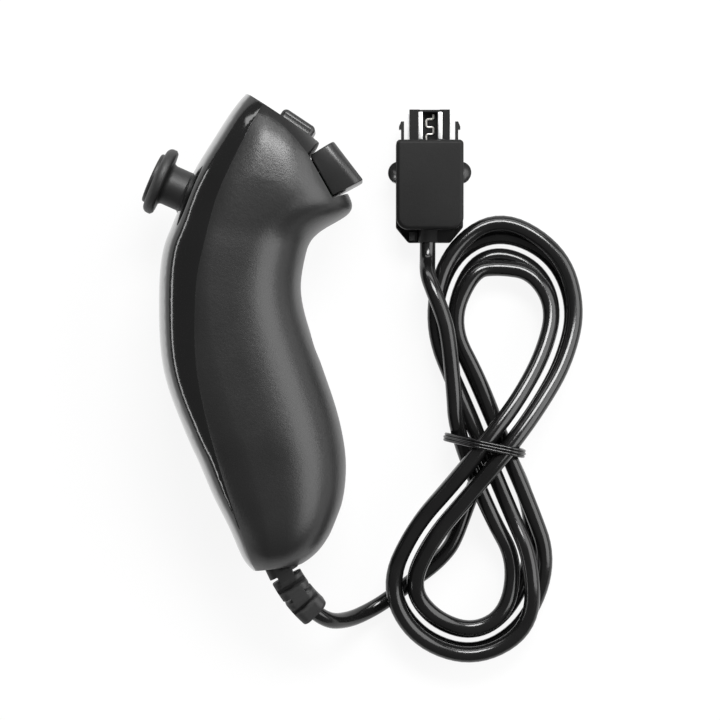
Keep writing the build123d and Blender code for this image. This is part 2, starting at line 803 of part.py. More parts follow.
# Trigger: a hollow block on a pin, open at the back, with a post over its dome
trigger_outline = (
    (trigger_foot_bulge, moving_gap),
    (0, trigger_top_reach),
    (notch_length - trigger_foot_bulge, trigger_foot_reach),
    (notch_length - trigger_foot_gap, moving_gap),
)
trigger_flank_wall = 1.6
trigger_face_wall = 1.8
press_post_down = 7.2
press_post_size = 3.0
trigger_hollow_reach = trigger_top_reach - trigger_face_wall
trigger_hollow_foot = notch_length - trigger_foot_gap - trigger_wall
seat_half_span = trigger_width / 2 - trigger_flank_wall + trigger_seat_depth
with BuildPart() as z_trigger:
    with BuildSketch(trigger_plane.offset(-trigger_width / 2)):
        with BuildLine():
            Polyline(*trigger_outline, close=True)
        make_face()
    extrude(amount=trigger_width)
    trigger_out_axis = Axis(trigger_plane.origin, trigger_plane.y_dir)
    back_face = z_trigger.faces().sort_by(trigger_out_axis)[0]
    fillet(z_trigger.edges() - back_face.edges(), trigger_round)
    with BuildSketch(trigger_plane.offset(-trigger_width / 2 + trigger_flank_wall)):
        with BuildLine():
            Polyline(
                (trigger_foot_bulge + trigger_wall, 0),
                (trigger_foot_bulge + trigger_wall, trigger_hollow_reach),
                (trigger_hollow_foot, trigger_hollow_reach),
                (trigger_hollow_foot, 0),
                close=True,
            )
        make_face()
    extrude(amount=trigger_width - 2 * trigger_flank_wall, mode=Mode.SUBTRACT)
    with BuildSketch(trigger_plane.offset(-seat_half_span)):
        with Locations((trigger_pin_down, trigger_pin_out)):
            Circle(trigger_pin_radius + pin_gap)
    extrude(amount=2 * seat_half_span, mode=Mode.SUBTRACT)
    with BuildSketch(trigger_plane.offset(-press_post_size / 2)):
        with Locations((press_post_down, moving_gap)):
            Rectangle(
                press_post_size,
                trigger_top_reach - moving_gap - trigger_face_wall / 2,
                align=(Align.CENTER, Align.MIN),
            )
    extrude(amount=press_post_size)
finish(z_trigger, "z_trigger")

with BuildPart() as trigger_pin:
    with BuildSketch(trigger_plane):
        with Locations((trigger_pin_down, trigger_pin_out)):
            Circle(trigger_pin_radius)
    extrude(amount=seat_half_span - pin_gap, both=True)
finish(trigger_pin, "trigger_pin")

z_board_length = 7.6
z_board_half_width = 11.8
z_board_down = 8.1
z_dome_radius = 2.1
z_dome_height = bezel_back_wall + moving_gap - button_press_gap
z_board_plane = Plane(trigger_plane.origin, trigger_down, trigger_plane.y_dir).offset(-bezel_back_wall)
with BuildPart() as z_switch_board:
    with BuildSketch(z_board_plane):
        with Locations((z_board_down, 0)):
            RectangleRounded(z_board_length, 2 * z_board_half_width, board_round)
    extrude(amount=-contact_board_thickness)
finish(z_switch_board, "z_switch_board")
rubber_dome("z_dome", z_board_plane * Pos(press_post_down, 0, 0), z_dome_radius, z_dome_height)

# The cord and what is on it
cord_diameter = 3.8
cord_radius = cord_diameter / 2
straight_end = cord_diameter
bend_share = 0.45

# Strain relief: sleeve on an arc, slotted in turn from its sides and from above and below
slot_width = 1.2
side_web = 1.9
flat_web = 1.5
side_slot_shares = (0.17, 0.55)
flat_slot_shares = (0.35, 0.74)
with BuildLine() as sleeve_line:
    Line(sleeve_start - sleeve_tangent.normalized() * neck_round, sleeve_start)
    TangentArc(sleeve_start, sleeve_end, tangent=sleeve_tangent)
with BuildLine() as sleeve_arc:
    TangentArc(sleeve_start, sleeve_end, tangent=sleeve_tangent)


def sleeve_plane(share):
    """A plane across the sleeve, x to its side, at a share of its length."""
    forward = sleeve_arc.line % share
    return Plane(sleeve_arc.line @ share, forward.cross(Vector(0, 0, 1)), forward)


with BuildPart() as sleeve_body:
    with BuildSketch(neck_plane.offset(-neck_round)):
        RectangleRounded(sleeve_width, sleeve_height, sleeve_round)
    sweep(path=sleeve_line.line)
    split(bisect_by=tail_cap, keep=Keep.TOP)
    for share in side_slot_shares:
        with BuildSketch(sleeve_plane(share)):
            Rectangle(2 * sleeve_width, 2 * sleeve_height)
            Rectangle(2 * side_web, 2 * sleeve_height, mode=Mode.SUBTRACT)
        extrude(amount=slot_width / 2, both=True, mode=Mode.SUBTRACT)
    for share in flat_slot_shares:
        with BuildSketch(sleeve_plane(share)):
            Rectangle(2 * sleeve_width, 2 * sleeve_height)
            Rectangle(2 * sleeve_width, 2 * flat_web, mode=Mode.SUBTRACT)
        extrude(amount=slot_width / 2, both=True, mode=Mode.SUBTRACT)
with BuildPart() as sleeve_flange_form:
    with BuildSketch(neck_plane.offset(-neck_length)):
        RectangleRounded(sleeve_flange_width, sleeve_flange_height, sleeve_round)
    extrude(amount=neck_length)
    split(bisect_by=tail_cap.offset(-shell_wall - pin_gap), keep=Keep.BOTTOM)
with BuildPart() as strain_relief:
    add(sleeve_body.part)
    add(sleeve_flange_form.part)
    with BuildSketch(neck_plane.offset(-neck_length)):
        RectangleRounded(neck_width, neck_height, neck_round)
    extrude(amount=neck_length + slot_width)
finish(strain_relief, "strain_relief")
harness_end = sleeve_start - sleeve_tangent.normalized() * neck_length


def cord_path(name, points):
    """Straight runs joined by tangent arcs, each arc as large as its two runs allow."""
    runs = [Vector(*there) - Vector(*here) for here, there in zip(points, points[1:])]
    radii = []
    for before, after in zip(runs, runs[1:]):
        half_turn = radians(before.get_angle(after)) / 2
        radii.append(bend_share * min(before.length, after.length) / tan(half_turn))
    print(name, "radii", [round(radius, 1) for radius in radii])
    with BuildLine() as path:
        FilletPolyline(*points, radius=radii)
    return path.wire()


def cord_tube(name, path, radius):
    """A round tube along a path, its volume set against its section times its length."""
    with BuildPart() as tube:
        with BuildSketch(Plane(path @ 0, z_dir=path % 0)):
            Circle(radius)
        sweep(path=path)
    finish(tube, name)
    plain_volume = radius * radius * radians(180) * path.length
    print(name, "length", round(path.length, 1), "volume ratio", tube.part.volume / plain_volume)


# Wires from the board's connector to the strain relief, past the lower screw boss
harness_radius = 1.3
harness_straight = 3.0
harness_neck = 2.6
harness_runs = (
    (-0.0814, -0.0531, 6.6), (-0.0478, -0.1504, 7.0), (-0.0159, -0.2478, 6.8),
    (0.0142, -0.3363, 6.9), (0.0372, -0.4124, 5.8),
)
connector_out = board_back_plane.offset(-connector_height / 2)
harness_start = connector_out.from_local_coords(Vector(-board_tail_end, connector_side, 0))
harness_points = (
    harness_start,
    harness_start - stick_along * harness_straight,
    *[Vector(x * wand_length, y * wand_length, mid_height + rise) for x, y, rise in harness_runs],
    harness_end - sleeve_tangent.normalized() * harness_neck,
    harness_end,
)
cord_tube("wire_harness", cord_path("wire_harness", harness_points), harness_radius)

# The route's points were measured with the sleeve's end at this place, and move with it
route_exit = (14.771, -65.625)


def laid(x, y, height):
    """A point of the route, carried along with the sleeve's end."""
    return Vector(x - route_exit[0] + sleeve_end.X, y - route_exit[1] + sleeve_end.Y, height)


# Hank: bundle centre x, y, lift of its lower strands, and lean of its upper strands in
# degrees, once round: up the left of the upper lobe, over its top, down through the waist
# above the other half, round the lower lobe, and back to the waist
hank_knots = (
    (57.9, -27.5, 1.0, 90), (51.8, -12.9, 0.3, 84), (46.2, 1.6, 0.0, 90), (50.0, 15.6, 0.0, 75),
    (59.1, 20.8, 0.0, 46), (69.6, 16.4, 0.0, 70), (74.2, 5.9, 0.8, 84), (71.6, -5.9, 4.3, 85),
    (65.4, -17.0, 8.2, 88), (57.9, -27.1, 10.6, 88), (49.9, -37.0, 9.8, 90), (41.2, -47.8, 7.4, 88),
    (36.3, -60.0, 4.8, 86), (41.9, -69.9, 1.6, 80), (53.0, -73.7, 0.0, 80), (62.9, -67.8, 0.0, 80),
    (66.4, -54.6, 0.0, 90), (63.8, -41.7, 0.5, 90),
)
hank_turns = 4
strand_side = 2.4
strand_rise = 4.58
hank_entry = ((50.9, -43.1, 0.2), (52.3, -39.3, 0.3))
entry_shift = 0.7
change_spread = 3.7
exit_waist = (6.98, 4.58)
exit_over = (6.0, 8.5)
exit_over_share = 0.58
exit_end = (3.9, 9.5)
sample_count = 6
skipped_samples = 40


def hank_centre(index):
    """Bundle centre and the direction to the left of the cord's way, at a knot."""
    before = hank_knots[index - 1]
    after = hank_knots[(index + 1) % len(hank_knots)]
    way = Vector(after[0] - before[0], after[1] - before[1], 0).normalized()
    return laid(hank_knots[index][0], hank_knots[index][1], cord_radius), Vector(-way.Y, way.X, 0)


def strand_place(turn, lean):
    """Place of a turn in the bundle: to the left, and above its lower strands."""
    side = strand_side if turn in (0, 3) else -strand_side
    if turn in (0, 1):
        return (side, 0)
    outward = strand_rise * cos(radians(lean))
    return (side + (outward if side > 0 else -outward), strand_rise * sin(radians(lean)))


def hank_point(index, strand, lift):
    """A point of the cord at a knot, from its place in the bundle and the bundle's lift."""
    centre, left = hank_centre(index)
    return centre + left * strand[0] + Vector(0, 0, lift + strand[1])


# Places of the turns half way through the change from each turn to the next
change_places = (
    (0, 0),
    (-change_spread, change_spread),
    (moving_gap, 2 * change_spread + 2 * moving_gap),
    (change_spread + 2 * moving_gap, change_spread),
)
hank_points = [laid(x, y, cord_radius + lift) for x, y, lift in hank_entry]
last_knot = len(hank_knots) - 1
for turn in range(hank_turns):
    for index, (x, y, lift, lean) in enumerate(hank_knots):
        strand = strand_place(turn, lean)
        if turn == 0 and index == 0:
            strand = (strand[0] + entry_shift, strand[1])
        if index == last_knot - 1:
            strand = change_places[turn]
        if index == last_knot:
            strand = strand_place(turn + 1, lean) if turn < hank_turns - 1 else exit_waist
        hank_points.append(hank_point(index, strand, lift))
hank_points.append(hank_point(0, exit_waist, hank_knots[0][2]))
waist_centre = hank_centre(0)[0]
over_centre = waist_centre + (hank_centre(1)[0] - waist_centre) * exit_over_share
hank_points.append(over_centre + hank_centre(1)[1] * exit_over[0] + Vector(0, 0, exit_over[1]))
hank_points.append(hank_point(1, exit_end, hank_knots[1][2]))


def gentle_climb(run_in, run_out):
    """Slope at a point that never carries the cord past the heights beside it."""
    slope_in = run_in.Z / run_in.length
    slope_out = run_out.Z / run_out.length
    if slope_in * slope_out <= 0:
        return 0
    return 2 * slope_in * slope_out / (slope_in + slope_out)


# Direction of the cord at each point, from the circle through it and its neighbours
hank_ways = [(hank_points[1] - hank_points[0]).normalized()]
for before, here, after in zip(hank_points, hank_points[1:], hank_points[2:]):
    run_in = here - before
    run_out = after - here
    way = run_in * (run_out.length / run_in.length) + run_out * (run_in.length / run_out.length)
    hank_ways.append(Vector(way.X, way.Y, way.length * gentle_climb(run_in, run_out)).normalized())
hank_ways.append((hank_points[-1] - hank_points[-2]).normalized())


def biarc(start, start_way, end, end_way):
    """Two arcs with a common direction where they meet, through the open line context."""
    run = end - start
    ways = start_way + end_way
    bend = 2 * (1 - start_way.dot(end_way))
    reach = run.dot(ways)
    handle = ((reach * reach + bend * run.dot(run)) ** 0.5 - reach) / bend
    joint = (start + start_way * handle + end - end_way * handle) / 2
    TangentArc(start, joint, tangent=start_way)
    TangentArc(joint, end, tangent=end - end_way * handle - joint)


hank_start = hank_points[0] - hank_ways[0] * straight_end
hank_end = hank_points[-1] + hank_ways[-1] * straight_end
with BuildLine() as hank_line:
    Line(hank_start, hank_points[1])
    for index in range(1, len(hank_points) - 1):
        if index == 1:
            hank_ways[1] = hank_ways[0]
        biarc(hank_points[index], hank_ways[index], hank_points[index + 1], hank_ways[index + 1])
    Line(hank_points[-1], hank_end)
hank_path = hank_line.wire()

samples = []
for edge in hank_path.edges():
    for number in range(sample_count):
        samples.append(tuple(edge @ (number / sample_count)))
least_distance = min(
    sum((a - b) ** 2 for a, b in zip(samples[first], samples[second])) ** 0.5
    for first in range(len(samples))
    for second in range(first + skipped_samples, len(samples))
)
print("hank least gap to itself", round(least_distance - cord_diameter, 3))
cord_tube("cord_hank", hank_path, cord_radius)

# Lead from the strain relief down to the floor, under the hank's left side, to its start
lead_way = (sleeve_arc.line % 1).normalized()
lead_straight = 4.6
hank_run_in = 3.4
lead_places = (
    (23.2, -68.6, 6.6), (28.6, -66.4, 2.4), (33.6, -63.2, 1.9),
    (38.4, -59.4, 2.0), (43.0, -56.1, 1.9), (46.3, -52.9, 2.0),
)
lead_points = (
    sleeve_end,
    sleeve_end + lead_way * lead_straight,
    *[laid(*spot) for spot in lead_places],
    hank_start - hank_ways[0] * hank_run_in,
    hank_start,
)
cord_tube("cord_lead", cord_path("cord_lead", lead_points), cord_radius)

# Plug: sizes of its housing, lying flat beside the hank
plug_place = (42.45, 45.8)
plug_width = 16.0
plug_length = 21.4
plug_height = 12.0
plug_wall = 1.4
plug_round = 3.0
plug_ledge = 2.9
plug_mid = plug_height / 2
boot_radius = 2.3
boot_shift = -0.45
plug_front_middle = laid(*plug_place, 0)
plug_origin = plug_front_middle - Vector(0, plug_length, 0)
boot_base = plug_origin + Vector(boot_shift, 0, plug_mid)
boot_end = boot_base - Vector(0, plug_ledge, 0)

# Tail from the hank, over its upper left side, down to the plug
tail_straight = 4.4
boot_run_in = 3.9
tail_places = ((46.8, -0.6, 13.2), (45.3, 4.8, 12.7), (43.3, 9.8, 12.2), (41.8, 14.0, 10.2))
tail_points = (
    hank_end,
    hank_end + hank_ways[-1] * tail_straight,
    *[laid(*spot) for spot in tail_places],
    boot_end - Vector(0, boot_run_in, 0),
    boot_end,
)
cord_tube("cord_tail", cord_path("cord_tail", tail_points), cord_radius)

# Tie round both halves of the hank at its waist: its outline in shares of the
# cord's diameter, across the hank and upward
tie_outline_shares = (
    (-1.45, 0.0), (1.6, 0.0), (1.95, 0.8), (1.9, 4.4), (1.4, 5.3),
    (-1.35, 5.3), (-2.15, 4.3), (-3.25, 2.7), (-3.25, 1.3),
)
tie_way = Vector(0.979, -0.206, 0)
tie_round = 1.6
tie_width = 2.1
tie_thickness = 0.8
crossing_knot = 9
crossing = (hank_centre(0)[0] + hank_centre(crossing_knot)[0]) / 2
tie_plane = Plane(crossing - Vector(0, 0, cord_radius), tie_way, tie_way.cross(Vector(0, 0, 1)))
tie_outline = [(across * cord_diameter, up * cord_diameter) for across, up in tie_outline_shares]


def tie_slab(width, inset):
    """A slab across the hank in the tie's outline, inset by part of its thickness."""
    with BuildPart() as slab:
        with BuildSketch(tie_plane.offset(-width / 2)) as outline:
            with BuildLine():
                Polyline(*tie_outline, close=True)
            make_face()
            offset(amount=-inset - tie_round, mode=Mode.REPLACE)
            offset(amount=tie_round, mode=Mode.REPLACE)
        extrude(amount=width)
    return slab.part


with BuildPart() as cord_tie:
    add(tie_slab(tie_width, 0))
    add(tie_slab(2 * tie_width, tie_thickness), mode=Mode.SUBTRACT)
finish(cord_tie, "cord_tie")

# Plug: two half shells round the tongue and the latches, x across and y towards the tongue
plug_plane = Plane(plug_origin)
plug_edge_round = 1.0
plug_flare = 3.0
plug_shoulder = 0.7
plug_half = plug_width / 2
cavity_half = plug_half - plug_wall
tongue_reach = 7.3
tongue_half = 4.8
tongue_half_height = 2.3
front_slot_half = 7.1
side_gap = 0.3

# Latch: its pin near the cord end, an arm along the side, a pushed button and a hook
latch_pin_radius = 0.5
latch_pin_side = 5.4
latch_pin_back = 3.0
latch_pin_seat = 0.8
latch_eye_radius = 1.0
latch_arm = 1.0
latch_half_height = 1.6
latch_button_centre = 13.7
latch_button_half = 2.5
latch_button_half_height = 2.6
latch_button_reach = 1.9
latch_hook_inner = 6.1
latch_hook_wall = 0.7
latch_hook_barb = 0.5
latch_hook_reach = 4.5
latch_hook_back = 2.6
spring_block_half = 2.4
spring_block_length = 2.0
spring_place = 9.0
latch_spring_radius = 1.1
latch_spring_wire = 0.35
latch_spring_turns = 3
arm_inner_face = latch_pin_side - latch_arm / 2
arm_outer_face = latch_pin_side + latch_arm / 2


with BuildPart() as plug_inside:
    with BuildSketch(plug_plane.offset(plug_wall)):
        with Locations((0, plug_wall)):
            Rectangle(2 * cavity_half, plug_length - 2 * plug_wall, align=(Align.CENTER, Align.MIN))
    extrude(amount=plug_height - 2 * plug_wall)
    with BuildSketch(plug_plane.offset(plug_mid - latch_button_half_height - side_gap)):
        with Locations((0, latch_button_centre)):
            Rectangle(plug_width + overrun, 2 * (latch_button_half + side_gap))
    extrude(amount=2 * (latch_button_half_height + side_gap))
    with BuildSketch(plug_plane.offset(plug_mid - tongue_half_height)):
        with Locations((0, plug_length / 2)):
            Rectangle(2 * front_slot_half, plug_length, align=(Align.CENTER, Align.MIN))
            Rectangle(
                2 * overrun,
                plug_length / 2 - plug_wall,
                align=(Align.CENTER, Align.MIN),
                mode=Mode.SUBTRACT,
            )
    extrude(amount=2 * tongue_half_height)
    with BuildSketch(plug_plane.offset(plug_wall - latch_pin_seat)):
        with Locations((-latch_pin_side, latch_pin_back), (latch_pin_side, latch_pin_back)):
            Circle(latch_pin_radius)
    extrude(amount=plug_height - 2 * plug_wall + 2 * latch_pin_seat)
boot_plane = Plane(boot_base, (1, 0, 0), (0, 1, 0))
with BuildPart() as plug_boot:
    with BuildSketch(boot_plane.offset(-plug_ledge)):
        Circle(boot_radius)
    extrude(amount=plug_ledge + plug_wall)
    with BuildSketch(boot_plane.offset(plug_wall)):
        Circle(boot_radius + latch_eye_radius)
    extrude(amount=latch_eye_radius)
finish(plug_boot, "plug_boot")

with BuildPart() as plug_lower_shell:
    with BuildSketch(plug_plane):
        with BuildLine():
            Polyline(
                (-plug_half, plug_length),
                (plug_half, plug_length),
                (plug_half, plug_shoulder),
                (plug_half - plug_flare, -plug_ledge),
                (plug_flare - plug_half, -plug_ledge),
                (-plug_half, plug_shoulder),
                close=True,
            )
        make_face()
    extrude(amount=plug_mid)
    fillet(plug_lower_shell.edges().filter_by(Axis.Z), plug_edge_round)
    fillet(plug_lower_shell.faces().sort_by(Axis.Z)[0].edges(), plug_edge_round / 2)
    add(plug_inside.part, mode=Mode.SUBTRACT)
    add(plug_boot.part, mode=Mode.SUBTRACT)
    with BuildSketch(plug_plane.offset(plug_wall)):
        with Locations((0, spring_place)):
            Rectangle(2 * spring_block_half, spring_block_length)
    extrude(amount=plug_mid - plug_wall + latch_spring_radius)
finish(plug_lower_shell, "plug_lower_shell")

with BuildPart() as plug_upper_shell:
    with BuildSketch(plug_plane.offset(plug_mid)):
        Rectangle(plug_width, plug_length, align=(Align.CENTER, Align.MIN))
    extrude(amount=plug_mid)
    fillet(plug_upper_shell.edges().filter_by(Axis.Z).group_by(Axis.Y)[0], plug_round)
    fillet(plug_upper_shell.edges().filter_by(Axis.Z).group_by(Axis.Y)[-1], plug_edge_round)
    fillet(plug_upper_shell.faces().sort_by(Axis.Z)[-1].edges(), plug_edge_round)
    add(plug_inside.part, mode=Mode.SUBTRACT)
    add(plug_boot.part, mode=Mode.SUBTRACT)
finish(plug_upper_shell, "plug_upper_shell")

# Tongue: a flange behind the front wall, two prongs, a floor between them and an end bar
tongue_flange_half = 4.2
tongue_flange = 2.0
prong_inner = 2.4
tongue_floor = 0.8
tongue_bar = 0.5
strip_thickness = 0.4
contact_width = 0.5
contact_thickness = 0.4
contact_bend_shares = (0.33, 0.5)
strip_length = tongue_reach - 2 * tongue_bar
with BuildPart() as plug_tongue:
    with BuildSketch(plug_plane.offset(plug_wall)):
        with Locations((0, plug_length - plug_wall)):
            Rectangle(2 * tongue_flange_half, tongue_flange, align=(Align.CENTER, Align.MAX))
    extrude(amount=plug_height - 2 * plug_wall)
    with BuildSketch(plug_plane.offset(plug_mid - tongue_half_height)):
        with Locations((0, plug_length - plug_wall)):
            Rectangle(2 * tongue_half, plug_wall + tongue_reach, align=(Align.CENTER, Align.MIN))
    extrude(amount=2 * tongue_half_height)
    with BuildSketch(plug_plane.offset(plug_mid - tongue_half_height + tongue_floor)):
        with Locations((0, plug_length)):
            Rectangle(2 * prong_inner, tongue_reach - tongue_bar, align=(Align.CENTER, Align.MIN))
    extrude(amount=plug_height, mode=Mode.SUBTRACT)
    with BuildSketch(plug_plane.offset(plug_mid + tongue_half_height / 2)):
        with Locations((0, plug_length)):
            Rectangle(2 * prong_inner, tongue_reach + overrun, align=(Align.CENTER, Align.MIN))
    extrude(amount=plug_height, mode=Mode.SUBTRACT)
finish(plug_tongue, "plug_tongue")

with BuildPart() as shield_strips:
    with BuildSketch(plug_plane.offset(plug_mid - tongue_half_height + tongue_floor)):
        for side in (-1, 1):
            with Locations((side * (tongue_half + strip_thickness / 2), plug_length)):
                Rectangle(strip_thickness, strip_length, align=(Align.CENTER, Align.MIN))
            with Locations((side * (prong_inner - strip_thickness / 2), plug_length)):
                Rectangle(strip_thickness, strip_length, align=(Align.CENTER, Align.MIN))
    extrude(amount=2 * tongue_half_height - 2 * tongue_floor)
finish(shield_strips, "shield_strips")

with BuildPart() as plug_contacts:
    with BuildSketch(plug_plane.offset(plug_mid - tongue_half_height + tongue_floor)):
        for side in (-1, 1):
            middle = side * (prong_inner - strip_thickness) / 2
            with BuildLine() as contact_line:
                Polyline(
                    (middle, plug_length),
                    (middle, plug_length + strip_length * contact_bend_shares[0]),
                    (middle / 2, plug_length + strip_length * contact_bend_shares[1]),
                    (middle / 2, plug_length + strip_length),
                )
            trace(contact_line.line, contact_width)
    extrude(amount=contact_thickness)
finish(plug_contacts, "plug_contacts")


def latch(name, side):
    """A latch on its pin; side is 1 on the right and -1 on the left."""
    arm_front = plug_length - overrun
    face = plug_length - plug_wall
    hook_outer = latch_hook_inner + latch_hook_wall
    points = (
        (arm_inner_face, latch_pin_back),
        (arm_inner_face, arm_front),
        (latch_hook_inner, plug_length),
        (latch_hook_inner, plug_length + latch_hook_reach),
        (hook_outer, plug_length + latch_hook_reach),
        (hook_outer + latch_hook_barb, plug_length + latch_hook_back + latch_hook_wall),
        (hook_outer + latch_hook_barb, plug_length + latch_hook_back),
        (hook_outer, plug_length + latch_hook_back),
        (hook_outer, plug_length - plug_wall / 2),
        (cavity_half - side_gap, face - side_gap),
        (cavity_half - side_gap, face - plug_wall),
        (arm_outer_face, arm_front),
        (arm_outer_face, latch_pin_back),
    )
    with BuildPart() as piece:
        with BuildSketch(plug_plane.offset(plug_mid - latch_half_height)):
            with BuildLine():
                Polyline(*[(side * x, y) for x, y in points], close=True)
            make_face()
            with Locations((side * latch_pin_side, latch_pin_back)):
                Circle(latch_eye_radius)
                Circle(latch_pin_radius + pin_gap, mode=Mode.SUBTRACT)
        extrude(amount=2 * latch_half_height)
        with BuildSketch(plug_plane.offset(plug_mid - latch_button_half_height)):
            with BuildLine():
                Polyline(
                    (side * plug_half, latch_button_centre - latch_button_half),
                    (side * arm_inner_face, latch_button_centre - latch_button_half),
                    (side * arm_inner_face, latch_button_centre + latch_button_half),
                    (side * plug_half, latch_button_centre + latch_button_half),
                )
                ThreePointArc(
                    (side * plug_half, latch_button_centre + latch_button_half),
                    (side * (plug_half + latch_button_reach), latch_button_centre),
                    (side * plug_half, latch_button_centre - latch_button_half),
                )
            make_face()
        extrude(amount=2 * latch_button_half_height)
    finish(piece, name)


latch("latch_left", -1)
latch("latch_right", 1)
with BuildPart() as latch_pins:
    with BuildSketch(plug_plane.offset(plug_wall - latch_pin_seat)):
        with Locations((-latch_pin_side, latch_pin_back), (latch_pin_side, latch_pin_back)):
            Circle(latch_pin_radius)
    extrude(amount=plug_height - 2 * plug_wall + 2 * latch_pin_seat)
finish(latch_pins, "latch_pins")

latch_spring_span = arm_inner_face - side_gap - spring_block_half - latch_spring_wire
with BuildPart() as latch_springs:
    for side in (-1, 1):
        spring_foot = Vector(side * (spring_block_half + latch_spring_wire / 2), spring_place, plug_mid)
        with BuildLine() as coil:
            Helix(
                latch_spring_span / latch_spring_turns,
                latch_spring_span,
                latch_spring_radius,
                center=plug_plane.from_local_coords(spring_foot),
                direction=(side, 0, 0),
            )
        with BuildSketch(Plane(coil.line @ 0, z_dir=coil.line % 0)):
            Circle(latch_spring_wire / 2)
        sweep(path=coil.line, is_frenet=True)
finish(latch_springs, "latch_springs")

# Small dark hook on the ledge at the plug's cord end
hook_side = 3.9
hook_width = 1.9
hook_height = 3.0
hook_wall = 0.8
hook_tip = 1.25
with BuildPart() as plug_hook:
    with BuildSketch(plug_plane.offset(plug_mid)):
        with Locations((-hook_side, -plug_ledge / 2)):
            Rectangle(hook_width, hook_width)
    extrude(amount=hook_wall)
    with BuildSketch(plug_plane.offset(plug_mid)):
        with Locations((-hook_side - hook_width / 2, -plug_ledge / 2)):
            Rectangle(hook_wall, hook_width, align=(Align.MIN, Align.CENTER))
    extrude(amount=hook_height)
    with BuildSketch(plug_plane.offset(plug_mid + hook_height - hook_wall)):
        with Locations((-hook_side - hook_width / 2, -plug_ledge / 2)):
            Rectangle(hook_tip, hook_width, align=(Align.MIN, Align.CENTER))
    extrude(amount=hook_wall)
finish(plug_hook, "plug_hook")
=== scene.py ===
import math

import bmesh
import bpy
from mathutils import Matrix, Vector


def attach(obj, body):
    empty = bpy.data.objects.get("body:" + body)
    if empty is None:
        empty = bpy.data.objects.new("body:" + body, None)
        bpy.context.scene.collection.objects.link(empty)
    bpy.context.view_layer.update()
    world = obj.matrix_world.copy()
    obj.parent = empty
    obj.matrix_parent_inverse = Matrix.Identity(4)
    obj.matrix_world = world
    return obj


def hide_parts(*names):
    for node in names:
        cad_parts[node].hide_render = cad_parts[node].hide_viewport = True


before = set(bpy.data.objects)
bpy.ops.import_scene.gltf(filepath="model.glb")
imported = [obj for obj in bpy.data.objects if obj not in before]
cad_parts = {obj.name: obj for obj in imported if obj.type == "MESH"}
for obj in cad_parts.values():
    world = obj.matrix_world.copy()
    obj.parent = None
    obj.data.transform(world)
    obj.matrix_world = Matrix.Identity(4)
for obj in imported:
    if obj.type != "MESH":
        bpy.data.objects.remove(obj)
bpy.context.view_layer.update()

# Camera: straight above the wand, which lies on its flank, far enough away to keep the
# outlines square. The picture's middle lies beside the wand, over the gap to the cord.
PICTURE_WIDTH = 0.1695
PICTURE_MIDDLE = (0.02585, -0.00655)
MIDDLE_HEIGHT = 0.019
CAMERA_LENS = 200.0
CAMERA_SENSOR = 36.0
camera_height = MIDDLE_HEIGHT + PICTURE_WIDTH * CAMERA_LENS / CAMERA_SENSOR
camera_data = bpy.data.cameras.new("camera")
camera_data.lens = CAMERA_LENS
camera_data.sensor_width = CAMERA_SENSOR
camera = bpy.data.objects.new("camera", camera_data)
camera.location = (*PICTURE_MIDDLE, camera_height)
bpy.context.scene.collection.objects.link(camera)
bpy.context.scene.camera = camera
bpy.context.scene.view_settings.view_transform = "Standard"

# Cord: one black jacketed cable, 3.8 mm thick and about 1.1 m long. It leaves the wand's
# sleeve, drops to the table, lies folded in a hank of four turns, and runs over the hank's
# left side to the plug. Places and heights are in millimetres until the spline is made.
MM = 0.001
CORD_DIAMETER = 3.8
CORD_RADIUS = CORD_DIAMETER / 2
CORD_EXIT = (14.771, -65.625, 16.0)
LEAD_POINTS = (
    CORD_EXIT, (17.82, -68.45, 14.0), (23.2, -68.6, 6.6), (28.6, -66.4, 2.4),
    (33.6, -63.2, 1.9), (38.4, -59.4, 2.0), (43.0, -56.1, 1.9), (46.3, -52.9, 2.0),
    (48.4, -49.85, 1.95), (50.9, -43.1, 2.1), (52.3, -39.3, 2.2),
)
# Each knot of the hank: the bundle's middle, its lift over the table, and how steeply the
# upper strands stand on the lower ones, in degrees
HANK_KNOTS = (
    (57.9, -27.5, 1.0, 90), (51.8, -12.9, 0.3, 84), (46.2, 1.6, 0.0, 90),
    (50.0, 15.6, 0.0, 75), (59.1, 20.8, 0.0, 46), (69.6, 16.4, 0.0, 70),
    (74.2, 5.9, 0.8, 84), (71.6, -5.9, 4.3, 85), (65.4, -17.0, 8.2, 88),
    (57.9, -27.1, 10.6, 88), (49.9, -37.0, 9.8, 90), (41.2, -47.8, 7.4, 88),
    (36.3, -60.0, 4.8, 86), (41.9, -69.9, 1.6, 80), (53.0, -73.7, 0.0, 80),
    (62.9, -67.8, 0.0, 80), (66.4, -54.6, 0.0, 90), (63.8, -41.7, 0.5, 90),
)
TAIL_POINTS = (
    (46.8, -0.6, 13.2), (45.3, 4.8, 12.7), (43.3, 9.8, 12.2), (41.8, 14.0, 10.2),
    (42.0, 17.6, 6.0), (42.0, 21.5, 6.0),
)
HANK_TURNS = 4
OUTER_TURNS = (0, 3)
LOWER_TURNS = (0, 1)
STRAND_SIDE = 2.4
STRAND_RISE = 4.58
ENTRY_SHIFT = 0.7
# Where a turn moves over to the next one's place, and where the last one leaves the hank:
# to the left of the bundle's middle, and up
CHANGE_PLACES = ((0.0, 0.0), (-3.7, 3.7), (0.3, 8.0), (4.3, 3.7))
EXIT_WAIST = (6.98, 4.58)
EXIT_OVER = (6.0, 8.5)
EXIT_OVER_SHARE = 0.58
EXIT_END = (3.9, 9.5)
# A spline cuts inside its points, so the hank's points stand further out by this share
STAND_OUT = 1 / 4
STEPS_BETWEEN_POINTS = 8
STEPS_ROUND_CORD = 6


